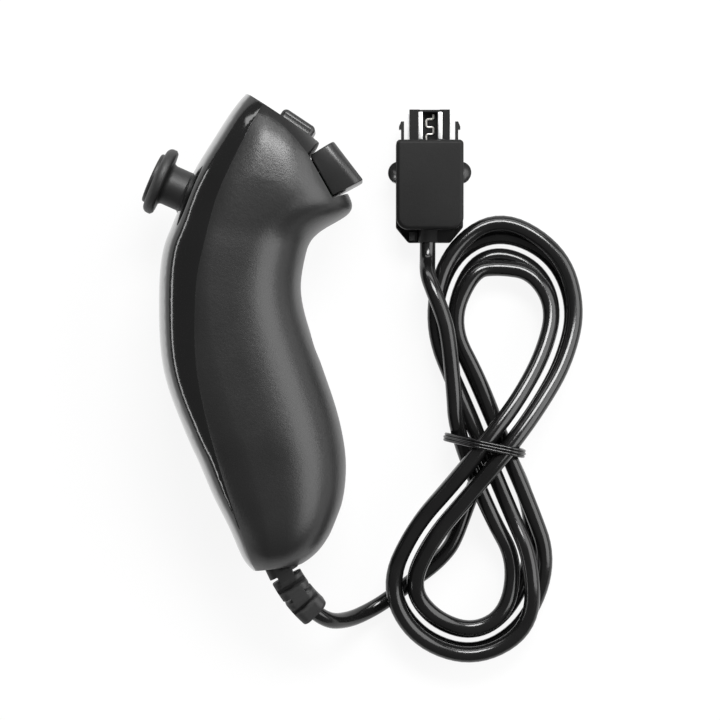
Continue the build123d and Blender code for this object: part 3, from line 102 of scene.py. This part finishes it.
def hank_centre(index):
    """Middle of the bundle at a knot, and the way to the left of the cord's run there."""
    before = HANK_KNOTS[index - 1]
    after = HANK_KNOTS[(index + 1) % len(HANK_KNOTS)]
    way = Vector((after[0] - before[0], after[1] - before[1], 0)).normalized()
    middle = Vector((HANK_KNOTS[index][0], HANK_KNOTS[index][1], CORD_RADIUS))
    return middle, Vector((-way.y, way.x, 0))


def strand_place(turn, lean):
    """Where a turn lies in the bundle: to the left, and above the lower strands."""
    side = STRAND_SIDE if turn in OUTER_TURNS else -STRAND_SIDE
    if turn in LOWER_TURNS:
        return side, 0.0
    outward = STRAND_RISE * math.cos(math.radians(lean))
    return side + math.copysign(outward, side), STRAND_RISE * math.sin(math.radians(lean))


def hank_point(index, strand, lift):
    """The point of one strand at a knot."""
    middle, left = hank_centre(index)
    return middle + left * strand[0] + Vector((0, 0, lift + strand[1]))


hank = []
last_knot = len(HANK_KNOTS) - 1
for turn in range(HANK_TURNS):
    for index, (_, _, lift, lean) in enumerate(HANK_KNOTS):
        strand = strand_place(turn, lean)
        if turn == 0 and index == 0:
            strand = (strand[0] + ENTRY_SHIFT, strand[1])
        if index == last_knot - 1:
            strand = CHANGE_PLACES[turn]
        if index == last_knot:
            last_turn = turn == HANK_TURNS - 1
            strand = EXIT_WAIST if last_turn else strand_place(turn + 1, lean)
        hank.append(hank_point(index, strand, lift))
hank.append(hank_point(0, EXIT_WAIST, HANK_KNOTS[0][2]))
over = hank_centre(0)[0].lerp(hank_centre(1)[0], EXIT_OVER_SHARE)
hank.append(over + hank_centre(1)[1] * EXIT_OVER[0] + Vector((0, 0, EXIT_OVER[1])))
hank.append(hank_point(1, EXIT_END, HANK_KNOTS[1][2]))
lead = [Vector(point) for point in LEAD_POINTS]
tail = [Vector(point) for point in TAIL_POINTS]
stood_out = []
for before, here, after in zip([lead[-1]] + hank, hank, hank[1:] + [tail[0]]):
    out = here - (before + after) / 2
    out.z = max(out.z, 0)
    stood_out.append(here + out * STAND_OUT)
cord_points = lead + stood_out + tail

cord_curve = bpy.data.curves.new("cord", "CURVE")
cord_curve.dimensions = "3D"
cord_spline = cord_curve.splines.new("NURBS")
cord_spline.points.add(len(cord_points) - 1)
for spline_point, place in zip(cord_spline.points, cord_points):
    spline_point.co = (*(place * MM), 1)
    spline_point.radius = CORD_RADIUS * MM
cord_spline.order_u = 3
cord_spline.use_endpoint_u = True
cord_spline.resolution_u = STEPS_BETWEEN_POINTS
cord_curve.bevel_depth = 1
cord_curve.bevel_resolution = STEPS_ROUND_CORD
cord_curve.use_fill_caps = True
cord = bpy.data.objects.new("cord", cord_curve)
bpy.context.scene.collection.objects.link(cord)
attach(cord, "casing_and_cord")
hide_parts("cord_lead", "cord_hank", "cord_tail")


class Socket:
    """A socket of a finish, so that shades and depths are written as sums."""

    def __init__(self, finish, socket):
        self.finish = finish
        self.socket = socket

    def math(self, operation, other):
        return self.finish.node("Math", {"operation": operation}, {0: self, 1: other})

    def __add__(self, other):
        return self.math("ADD", other)

    def __mul__(self, other):
        return self.math("MULTIPLY", other)

    __radd__ = __add__
    __rmul__ = __mul__

    def either(self, other):
        """One where this or the other is one."""
        return self.math("MAXIMUM", other)


class Finish:
    """One material, built from nodes on the piece's own coordinates."""

    def __init__(self, name):
        self.material = bpy.data.materials.new(name)
        self.material.use_nodes = True
        self.tree = self.material.node_tree
        self.shader = self.tree.nodes["Principled BSDF"]
        self.place = self.node("TexCoord", output="Object")

    def put(self, socket, value):
        if isinstance(value, Socket):
            self.tree.links.new(value.socket, socket)
        else:
            socket.default_value = value

    def node(self, kind, settings=None, inputs=None, output=0):
        """Any node: its type, its settings, its sockets' values or links, and its output."""
        made = self.tree.nodes.new("ShaderNode" + kind)
        for key, value in (settings or {}).items():
            if key == "stops":
                for element, (position, tone) in zip(made.color_ramp.elements, value):
                    element.position = position
                    element.color = tone
            else:
                setattr(made, key, value)
        for key, value in (inputs or {}).items():
            self.put(made.inputs[key], value)
        return Socket(self, made.outputs[output])

    def noise(self, size, detail=2.0, roughness=0.5):
        """Noise whose patches are about size metres across."""
        settings = {"noise_dimensions": "3D"}
        inputs = {
            "Vector": self.place, "Scale": 1 / size, "Detail": detail, "Roughness": roughness,
        }
        return self.node("TexNoise", settings, inputs)

    def ramp(self, value, stops):
        return self.node("ValToRGB", {"stops": stops}, {"Fac": value})

    def bump(self, height, distance, strength, under=None):
        """A surface's relief, distance metres high, laid over another one."""
        inputs = {"Height": height, "Distance": distance, "Strength": strength}
        if under:
            inputs["Normal"] = under
        return self.node("Bump", None, inputs)

    def set(self, **inputs):
        for key, value in inputs.items():
            self.put(self.shader.inputs[key.replace("_", " ")], value)

    def on(self, *pieces):
        for piece in pieces:
            piece.data.materials.clear()
            piece.data.materials.append(self.material)


def shade(value, tint=(1.0, 1.0, 1.0)):
    """A grey, lightly tinted, with its alpha."""
    return (value * tint[0], value * tint[1], value * tint[2], 1.0)


# The cord's jacket: black PVC, extruded over the wires, with a soft shine, faint drag marks
# along it and a little dust
JACKET_BLACK = 0.0045
JACKET_DUST = 0.009
DUST_SIZE = 0.011
DRAG_SIZE = 0.0022
DRAG_DEPTH = 0.00006
jacket = Finish("cord_jacket")
drag = jacket.noise(DRAG_SIZE, detail=3.0)
dusty = ((0.35, shade(JACKET_BLACK)), (0.8, shade(JACKET_DUST)))
jacket.set(
    Base_Color=jacket.ramp(jacket.noise(DUST_SIZE), dusty),
    Roughness=drag * 0.08 + 0.13,
    Normal=jacket.bump(drag, DRAG_DEPTH, strength=0.5),
)
jacket.on(cord)

# Front shell: the glossy half of the casing, moulded in one piece and polished. Its face
# keeps faint polishing swirls and the orange-peel of the mould under a clear shine.
SHELL_SMOOTH = 32
WELD_DISTANCE = 0.000002
GLOSS_BLACK = 0.004
GLOSS_WORN = 0.0065
WORN_SIZE = 0.02
SWIRL_SIZE = 0.0016
PEEL_SIZE = 0.004
PEEL_DEPTH = 0.00003


def take(*pieces):
    """Select these pieces alone, with the first one active."""
    bpy.ops.object.select_all(action="DESELECT")
    for piece in pieces:
        piece.select_set(True)
    bpy.context.view_layer.objects.active = pieces[0]


def ease_edges(piece, width, segments, angle, miter="MITER_SHARP"):
    """Round the edges that bend by more than an angle, over a width in millimetres."""
    ease = piece.modifiers.new("eased_edges", "BEVEL")
    ease.width = width * MM
    ease.segments = segments
    ease.limit_method = "ANGLE"
    ease.angle_limit = math.radians(angle)
    ease.miter_outer = miter
    bpy.ops.object.modifier_apply(modifier=ease.name)


def smooth_up_to(angle):
    """Shade the selected piece smooth where it bends by less than an angle."""
    bpy.ops.object.shade_smooth_by_angle(angle=math.radians(angle))


def shell_copy(node, name, body, smooth, edge=0.0):
    """A smooth copy of a moulded piece, its loose triangles merged and its edges eased."""
    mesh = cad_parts[node].data.copy()
    mesh.name = name
    piece = bpy.data.objects.new(name, mesh)
    bpy.context.scene.collection.objects.link(piece)
    welded = bmesh.new()
    welded.from_mesh(mesh)
    bmesh.ops.remove_doubles(welded, verts=welded.verts, dist=WELD_DISTANCE)
    welded.to_mesh(mesh)
    welded.free()
    take(piece)
    if edge:
        ease_edges(piece, edge, segments=2, angle=smooth, miter="MITER_ARC")
    smooth_up_to(smooth)
    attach(piece, body)
    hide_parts(node)
    return piece


front = shell_copy(
    "front_shell", "glossy_front", "casing_and_cord", SHELL_SMOOTH, edge=0.16
)
polish = Finish("polished_black")
worn = ((0.3, shade(GLOSS_BLACK)), (0.8, shade(GLOSS_WORN)))
polish.set(
    Base_Color=polish.ramp(polish.noise(WORN_SIZE), worn),
    Roughness=polish.noise(SWIRL_SIZE, detail=4.0, roughness=0.6) * 0.05 + 0.09,
    Normal=polish.bump(polish.noise(PEEL_SIZE), PEEL_DEPTH, strength=0.25),
    Coat_Weight=0.35,
    Coat_Roughness=0.09,
)
polish.on(front)

# Rear shell: the matte half that the hand holds, moulded in black plastic with a fine
# spark-eroded grain. It has two deep screw recesses in its back and eased edges.
CLOUD_SIZE = 0.014
PIT_SHARE = 3.1


def moulded(name, black, light, rough, grain, depth, spread=0.08, shine=0.5):
    """Black moulded plastic with a fine spark-eroded grain."""
    made = Finish(name)
    cloud = made.noise(CLOUD_SIZE, detail=3.0)
    fine = made.noise(grain, detail=2.0, roughness=0.65)
    pits = made.noise(grain * PIT_SHARE, detail=2.0, roughness=0.5)
    tones = ((0.3, shade(black)), (0.75, shade(light)))
    hollows = made.bump(pits, depth * 1.6, strength=0.4)
    made.set(
        Base_Color=made.ramp(cloud * 0.6 + fine * 0.4, tones),
        Roughness=cloud * spread + fine * spread + (rough - spread),
        Normal=made.bump(fine, depth, strength=0.7, under=hollows),
        Specular_IOR_Level=shine,
    )
    return made


rear = shell_copy(
    "rear_shell", "matte_rear", "casing_and_cord", SHELL_SMOOTH, edge=0.2
)
moulded(
    "grained_black", black=0.011, light=0.016, rough=0.36, grain=0.00036, depth=0.00004
).on(rear)

# Bezel: the panel at the head's top end that frames the two finger buttons. It is a
# separate moulding with less shine, held between the two shells. Its black is painted darker
# than the rear shell's, as painted shade on the face towards the head's end.
bezel = shell_copy(
    "button_bezel", "bezel_panel", "casing_and_cord", SHELL_SMOOTH, edge=0.2
)
# Darker black than the rear shell's: painted shade on the bezel's face.
moulded(
    "bezel_black_with_painted_shade", black=0.008, light=0.012, rough=0.45, grain=0.0004, depth=0.00002,
    shine=0.16,
).on(bezel)

# Trigger: a hollow cap of satin black plastic, open at the back, that turns on a steel pin.
# Its two long outer edges are rounded and its ends crisp, and its outer face stands
# further out at the foot than at the top. The outline is down and out from the top's back.
TRIGGER_TOP = Vector((13.732, 41.262, 19.0))
TRIGGER_DOWN = Vector((0.4894, -0.8721, 0.0))
TRIGGER_OUT = Vector((0.8721, 0.4894, 0.0))
TRIGGER_OUTLINE = ((0.34, 0.3), (0.05, 6.8), (11.35, 8.4), (11.16, 0.3))
TRIGGER_BACK_WITHIN = 0.6
TRIGGER_WIDTH = 20.0
TRIGGER_ROUND = 2.6
TRIGGER_WALL = 1.2
TRIGGER_EDGE = 0.4
TRIGGER_EDGE_ANGLE = 50
# A plane's corners in their order round it
PLANE_CORNERS = (0, 1, 3, 2)


def stands_out(vert):
    """How far a point of the trigger stands out from its back, in millimetres."""
    return (vert.co / MM - TRIGGER_TOP).dot(TRIGGER_OUT)


def is_back(face):
    """Whether a face closes the trigger's open back."""
    return all(stands_out(vert) < TRIGGER_BACK_WITHIN for vert in face.verts)


def is_long_outer_edge(edge):
    """Whether an edge runs the length of the outer face, at one of its two sides."""
    first, second = edge.verts
    level = abs(first.co.z - second.co.z) < TRIGGER_WIDTH * MM / 2
    return level and min(stands_out(first), stands_out(second)) > TRIGGER_BACK_WITHIN


def pick(piece, kind, wanted):
    """Select the faces or edges in edit mode that a test takes."""
    bpy.ops.mesh.select_mode(type=kind)
    bpy.ops.mesh.select_all(action="DESELECT")
    shaped = bmesh.from_edit_mesh(piece.data)
    for part in shaped.faces if kind == "FACE" else shaped.edges:
        part.select_set(wanted(part))
    bmesh.update_edit_mesh(piece.data)


lower_side = TRIGGER_TOP - Vector((0, 0, TRIGGER_WIDTH / 2))
bpy.ops.mesh.primitive_plane_add(size=TRIGGER_WIDTH * MM)
trigger = bpy.context.object
trigger.name = "trigger_cap"
bpy.ops.object.mode_set(mode="EDIT")
bpy.ops.mesh.select_mode(type="VERT")
for index, (down, out) in zip(PLANE_CORNERS, TRIGGER_OUTLINE):
    bpy.ops.mesh.select_all(action="DESELECT")
    flat = bmesh.from_edit_mesh(trigger.data)
    flat.verts.ensure_lookup_table()
    corner = flat.verts[index]
    corner.select_set(True)
    place = (lower_side + TRIGGER_DOWN * down + TRIGGER_OUT * out) * MM
    bpy.ops.transform.translate(value=place - corner.co)
bpy.ops.mesh.select_all(action="SELECT")
rise = (0, 0, TRIGGER_WIDTH * MM)
bpy.ops.mesh.extrude_region_move(TRANSFORM_OT_translate={"value": rise})
pick(trigger, "FACE", is_back)
bpy.ops.mesh.delete(type="FACE")
pick(trigger, "EDGE", is_long_outer_edge)
bpy.ops.mesh.bevel(offset=TRIGGER_ROUND * MM, segments=10)
bpy.ops.mesh.select_all(action="SELECT")
bpy.ops.mesh.normals_make_consistent(inside=False)
bpy.ops.object.mode_set(mode="OBJECT")
wall = trigger.modifiers.new("wall", "SOLIDIFY")
wall.thickness = TRIGGER_WALL * MM
wall.offset = -1
bpy.ops.object.modifier_apply(modifier=wall.name)
ease_edges(trigger, TRIGGER_EDGE, segments=3, angle=TRIGGER_EDGE_ANGLE)
smooth_up_to(SHELL_SMOOTH)
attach(trigger, "trigger")
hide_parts("z_trigger")
satin = moulded(
    "satin_black", black=0.012, light=0.018, rough=0.3, grain=0.0005, depth=0.000012,
    spread=0.05, shine=0.4,
)
satin.on(trigger)

# Small button: a bar of the same satin black plastic that is pressed straight in over its
# rubber dome. Its face is left bare, without a mark.
button = shell_copy(
    "c_button", "small_button_cap", "small_button", SHELL_SMOOTH
)
satin.on(button)

# Thumb stick: a round cap with a raised disc and a domed skirt that closes its hole, both
# of soft-touch black plastic, a little lighter than the shell, and pressed on the shaft.
cap = shell_copy("stick_cap", "thumb_cap", "thumb_stick", SHELL_SMOOTH)
skirt = shell_copy("stick_dome", "thumb_skirt", "thumb_stick", SHELL_SMOOTH)
moulded(
    "soft_touch_black", black=0.013, light=0.02, rough=0.5, grain=0.0004, depth=0.00002
).on(cap, skirt)

# Strain relief and plug boot: flexible sleeves of black rubber, duller than the cord, that
# are moulded round it where it leaves the wand and enters the plug.
SLEEVE_SMOOTH = 28
relief = shell_copy(
    "strain_relief", "slotted_sleeve", "casing_and_cord", SLEEVE_SMOOTH
)
boot = shell_copy("plug_boot", "boot_sleeve", "casing_and_cord", SLEEVE_SMOOTH)
moulded(
    "dull_rubber", black=0.014, light=0.024, rough=0.58, grain=0.0006, depth=0.00003
).on(relief, boot)

# Tie: three black strands moulded side by side and closed round the hank's waist. The
# outline goes round the bundle in cord diameters, across and up from the waist's middle.
TIE_OUTLINE = (
    (-1.45, 0.0), (1.6, 0.0), (1.95, 0.8), (1.9, 4.4), (1.4, 5.3),
    (-1.35, 5.3), (-2.15, 4.3), (-3.25, 2.7), (-3.25, 1.3),
)
TIE_MIDDLE = Vector((-0.75, 2.65)) * CORD_DIAMETER
TIE_CENTRE = Vector((57.9, -27.3, 0.0))
TIE_WAY = Vector((0.979, -0.206, 0.0))
# Each strand's shift along the cord, and its size as a share of the outline
TIE_STRANDS = ((-0.68, 0.958), (0.0, 0.975), (0.68, 0.962))
TIE_WIRE = 0.36
TIE_CORNER = 2.0
WIRE_SMOOTH = 50


def bent_wire(name, points, closed, corner, radius):
    """A wire through points in millimetres, its corners rounded, as a mesh."""
    edges = [(here, here + 1) for here in range(len(points) - 1)]
    if closed:
        edges.append((len(points) - 1, 0))
    mesh = bpy.data.meshes.new(name)
    mesh.from_pydata([point * MM for point in points], edges, [])
    wire = bpy.data.objects.new(name, mesh)
    bpy.context.scene.collection.objects.link(wire)
    take(wire)
    bpy.ops.object.mode_set(mode="EDIT")
    bpy.ops.mesh.select_all(action="SELECT")
    bpy.ops.mesh.bevel(offset=corner * MM, segments=6, affect="VERTICES", clamp_overlap=True)
    bpy.ops.object.mode_set(mode="OBJECT")
    bpy.ops.object.convert(target="CURVE")
    wire.data.bevel_depth = radius * MM
    wire.data.bevel_resolution = 3
    wire.data.use_fill_caps = True
    bpy.ops.object.convert(target="MESH")
    smooth_up_to(WIRE_SMOOTH)
    return wire


tie_across = TIE_WAY.cross(Vector((0, 0, 1)))
tie_strands = []
for number, (shift, size) in enumerate(TIE_STRANDS):
    loop = []
    for share in TIE_OUTLINE:
        flat = TIE_MIDDLE + (Vector(share) * CORD_DIAMETER - TIE_MIDDLE) * size
        loop.append(
            TIE_CENTRE + TIE_WAY * flat.x + tie_across * shift + Vector((0, 0, flat.y))
        )
    tie_strands.append(
        bent_wire("hank_tie_%d" % number, loop, closed=True, corner=TIE_CORNER, radius=TIE_WIRE)
    )
take(*tie_strands)
bpy.ops.object.join()
tie = tie_strands[0]
tie.name = "hank_tie"
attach(tie, "casing_and_cord")
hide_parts("cord_tie")
jacket.on(tie)

# Plug: two half shells of hard black plastic that clip together round the tongue, and a
# small hook at the cord's end. The tongue and the hook are moulded in the same plastic.
PLUG_SMOOTH = 30
plug_top = shell_copy(
    "plug_upper_shell", "plug_top", "casing_and_cord", PLUG_SMOOTH
)
plug_bottom = shell_copy(
    "plug_lower_shell", "plug_bottom", "casing_and_cord", PLUG_SMOOTH
)
moulded(
    "plug_black", black=0.008, light=0.012, rough=0.5, grain=0.00035, depth=0.00002,
    shine=0.14,
).on(plug_top, plug_bottom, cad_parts["plug_tongue"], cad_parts["plug_hook"])

# Latches: the plug's two side buttons with their hooks beside the tongue, of satin black
# plastic. Each turns on its own pin against a spring.
left_latch = shell_copy(
    "latch_left", "left_side_button", "left_latch", PLUG_SMOOTH
)
right_latch = shell_copy(
    "latch_right", "right_side_button", "right_latch", PLUG_SMOOTH
)
satin.on(left_latch, right_latch)

# Shield strips: two bright strips of stamped steel along the tongue, pressed into its
# plastic, that meet the socket's shield when the plug goes in.
MARK_SIZE = 0.0004
MARK_DEPTH = 0.00001


def metal(name, tone, rough, tint=(1.0, 1.0, 1.0)):
    """Stamped or turned metal with fine drawn marks."""
    made = Finish(name)
    marks = made.noise(MARK_SIZE, detail=3.0, roughness=0.7)
    tones = ((0.3, shade(tone, tint)), (0.8, shade(tone * 1.25, tint)))
    made.set(
        Base_Color=made.ramp(marks, tones),
        Roughness=marks * 0.14 + rough,
        Normal=made.bump(marks, MARK_DEPTH, strength=0.5),
        Metallic=1.0,
    )
    return made


metal("bright_strip", tone=0.75, rough=0.34).on(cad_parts["shield_strips"])

# Rails: two bright flat springs along the inner sides of the tongue's flanges, cut from
# strip with rounded edges, that hold the plug in its socket.
RAIL_SPOTS = ((40.25, 49.25, 8.0), (44.95, 49.25, 8.0))
RAIL_SIZE = (1.1, 6.6, 0.8)
RAIL_ROUND = 0.2
RAIL_EDGE_ANGLE = 30
RAIL_SMOOTH = 40
rails = []
for spot in RAIL_SPOTS:
    bpy.ops.mesh.primitive_cube_add(size=1)
    bpy.ops.transform.resize(value=[side * MM for side in RAIL_SIZE], center_override=(0, 0, 0))
    bpy.ops.transform.translate(value=[value * MM for value in spot])
    bpy.ops.object.transform_apply(location=True, rotation=False, scale=True)
    rails.append(bpy.context.object)
take(*rails)
bpy.ops.object.join()
tongue_rails = rails[0]
tongue_rails.name = "tongue_rails"
ease_edges(tongue_rails, RAIL_ROUND, segments=3, angle=RAIL_EDGE_ANGLE)
smooth_up_to(RAIL_SMOOTH)
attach(tongue_rails, "casing_and_cord")
metal("bright_rail", tone=0.82, rough=0.4).on(tongue_rails)

# Contact: a thin bright spring strip, folded to and fro over the middle of the tongue. Its
# bends are right and forward of the plug's front.
PLUG_FRONT = Vector((42.56, 45.8, 4.72))
CONTACT_BENDS = (
    (0.8, 6.3), (0.8, 5.2), (-0.85, 5.2), (-0.85, 3.3), (0.85, 3.3), (0.85, 1.6),
    (-0.85, 1.6), (-0.85, 0.1),
)
CONTACT_WIRE = 0.26
CONTACT_CORNER = 0.45
bends = [PLUG_FRONT + Vector((x, y, 0)) for x, y in CONTACT_BENDS]
contact = bent_wire(
    "folded_contact", bends, closed=False, corner=CONTACT_CORNER, radius=CONTACT_WIRE
)
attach(contact, "casing_and_cord")
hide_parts("plug_contacts")
metal("contact_strip", tone=0.6, rough=0.22, tint=(1.0, 0.97, 0.92)).on(contact)

# Steel parts: screws, pins and springs of plain turned or drawn steel, and the stick's
# housing, folded from sheet. The capacitors on the board stand in drawn aluminium cans.
STEEL_NODES = (
    "shell_screws", "board_screws", "centring_spring", "trigger_pin", "stick_cross_pin",
    "latch_pins", "latch_springs", "stick_housing",
)
steel = metal("plain_steel", tone=0.42, rough=0.28)
for node in STEEL_NODES:
    steel.on(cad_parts[node])
metal("can_aluminium", tone=0.6, rough=0.3).on(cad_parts["capacitors"])

# Stick mechanism and connector: natural white plastic, moulded without a pigment. The
# parts slide on each other, so the plastic is a little shiny.
NATURAL_SHADE = (0.62, 0.61, 0.57, 1.0)
NATURAL_LIGHT = (0.7, 0.69, 0.66, 1.0)
MILKY_SIZE = 0.003
NATURAL_NODES = ("stick_ring", "slot_arm", "return_disc", "stick_shaft", "board_connector")
natural = Finish("natural_plastic")
milky = natural.noise(MILKY_SIZE)
natural.set(
    Base_Color=natural.ramp(milky, ((0.3, NATURAL_SHADE), (0.8, NATURAL_LIGHT))),
    Roughness=milky * 0.1 + 0.4,
)
for node in NATURAL_NODES:
    natural.on(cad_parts[node])

# Circuit boards: glass-fibre boards under a green lacquer, with paler copper tracks below
# it. The main board is screwed to the rear shell, and the two small ones stand on edge.
TRACK_GREEN = (0.05, 0.2, 0.09, 1.0)
BOARD_GREEN = (0.015, 0.09, 0.04, 1.0)
TRACKS_PER_METRE = 420.0
TRACK_DEPTH = 0.00004
LACQUER_SIZE = 0.002
lacquer = Finish("green_lacquer")
tracks = lacquer.node(
    "TexVoronoi",
    {"feature": "DISTANCE_TO_EDGE"},
    {"Vector": lacquer.place, "Scale": TRACKS_PER_METRE},
)
lacquer.set(
    Base_Color=lacquer.ramp(tracks, ((0.04, TRACK_GREEN), (0.1, BOARD_GREEN))),
    Roughness=lacquer.noise(LACQUER_SIZE) * 0.1 + 0.2,
    Normal=lacquer.bump(tracks, TRACK_DEPTH, strength=0.4),
)
for node in ("main_board", "c_switch_board", "z_switch_board"):
    lacquer.on(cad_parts[node])

# Chips and the stick's two sensors: black moulded packages, soldered to the main board or
# clipped on the walls of the stick's housing.
package = moulded(
    "chip_black", black=0.01, light=0.016, rough=0.5, grain=0.0003, depth=0.00001
)
for node in ("controller_chip", "motion_sensor_chip", "potentiometers"):
    package.on(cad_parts[node])

# Rubber domes: grey silicone, moulded, one on each small contact board. They close the
# contact and spring the two finger buttons back.
DOME_SHADE = 0.22
DOME_LIGHT = 0.27
DOME_CLOUD_SIZE = 0.002
dome = Finish("dome_rubber")
dome_cloud = dome.noise(DOME_CLOUD_SIZE)
dome.set(
    Base_Color=dome.ramp(dome_cloud, ((0.3, shade(DOME_SHADE)), (0.8, shade(DOME_LIGHT)))),
    Roughness=dome_cloud * 0.1 + 0.5,
)
dome.on(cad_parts["c_dome"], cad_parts["z_dome"])

# Harness: the run of wires from the main board to the sleeve, held together by the same
# black jacket as the cord's.
jacket.on(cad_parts["wire_harness"])

# Table: a plain white floor that keeps the object's soft shadow. To the camera and to
# mirrors it glows, so that it is nearly white there without more light on the object.
TABLE_SIZE = 60.0
TABLE_WHITE = 0.9
GLOW_SHARE = 0.9
bpy.ops.mesh.primitive_plane_add(size=TABLE_SIZE, location=(0, 0, 0))
table = bpy.context.object
table.name = "table"
paint = Finish("table_white")
paint.set(Base_Color=shade(TABLE_WHITE), Roughness=0.9)
matt = Socket(paint, paint.shader.outputs["BSDF"])
glow = paint.node("Emission", None, {"Color": shade(1.0)})
seen = paint.node("LightPath", output="Is Camera Ray")
for mirror in ("Is Glossy Ray", "Is Transmission Ray"):
    seen = seen.either(paint.node("LightPath", output=mirror))
mixed = paint.node("MixShader", None, {0: seen * GLOW_SHARE, 1: matt, 2: glow})
paint.put(paint.tree.nodes["Material Output"].inputs["Surface"], mixed)
paint.on(table)

# Light: an even pale room and four soft lamps, each a rectangle that faces the object. The
# long strip stands on the right, the left strip draws the glossy front's edge, the head
# light shines on the wand's shoulder, and the far strip on all that faces the head's end.
ROOM_STRENGTH = 0.18
# Each lamp's name, its place, its two sides in metres, and its power in watts
LAMPS = (
    ("long_strip", (0.5, 0.06, 0.36), (0.7, 0.5), 4.0),
    ("left_strip", (-0.55, 0.0, 0.15), (0.8, 0.04), 0.7),
    ("head_light", (0.1, 0.4, 0.56), (0.34, 0.2), 4.6),
    ("far_strip", (0.02, 0.6, 0.3), (0.8, 0.14), 1.6),
)
world = bpy.data.worlds.new("room")
world.use_nodes = True
background = world.node_tree.nodes["Background"]
background.inputs["Color"].default_value = shade(1.0)
background.inputs["Strength"].default_value = ROOM_STRENGTH
bpy.context.scene.world = world
for name, spot, (across, along), power in LAMPS:
    lamp = bpy.data.lights.new(name, "AREA")
    lamp.shape = "RECTANGLE"
    lamp.size = across
    lamp.size_y = along
    lamp.energy = power
    holder = bpy.data.objects.new(name, lamp)
    holder.location = spot
    holder.rotation_euler = (-Vector(spot)).to_track_quat("-Z", "Y").to_euler()
    bpy.context.scene.collection.objects.link(holder)
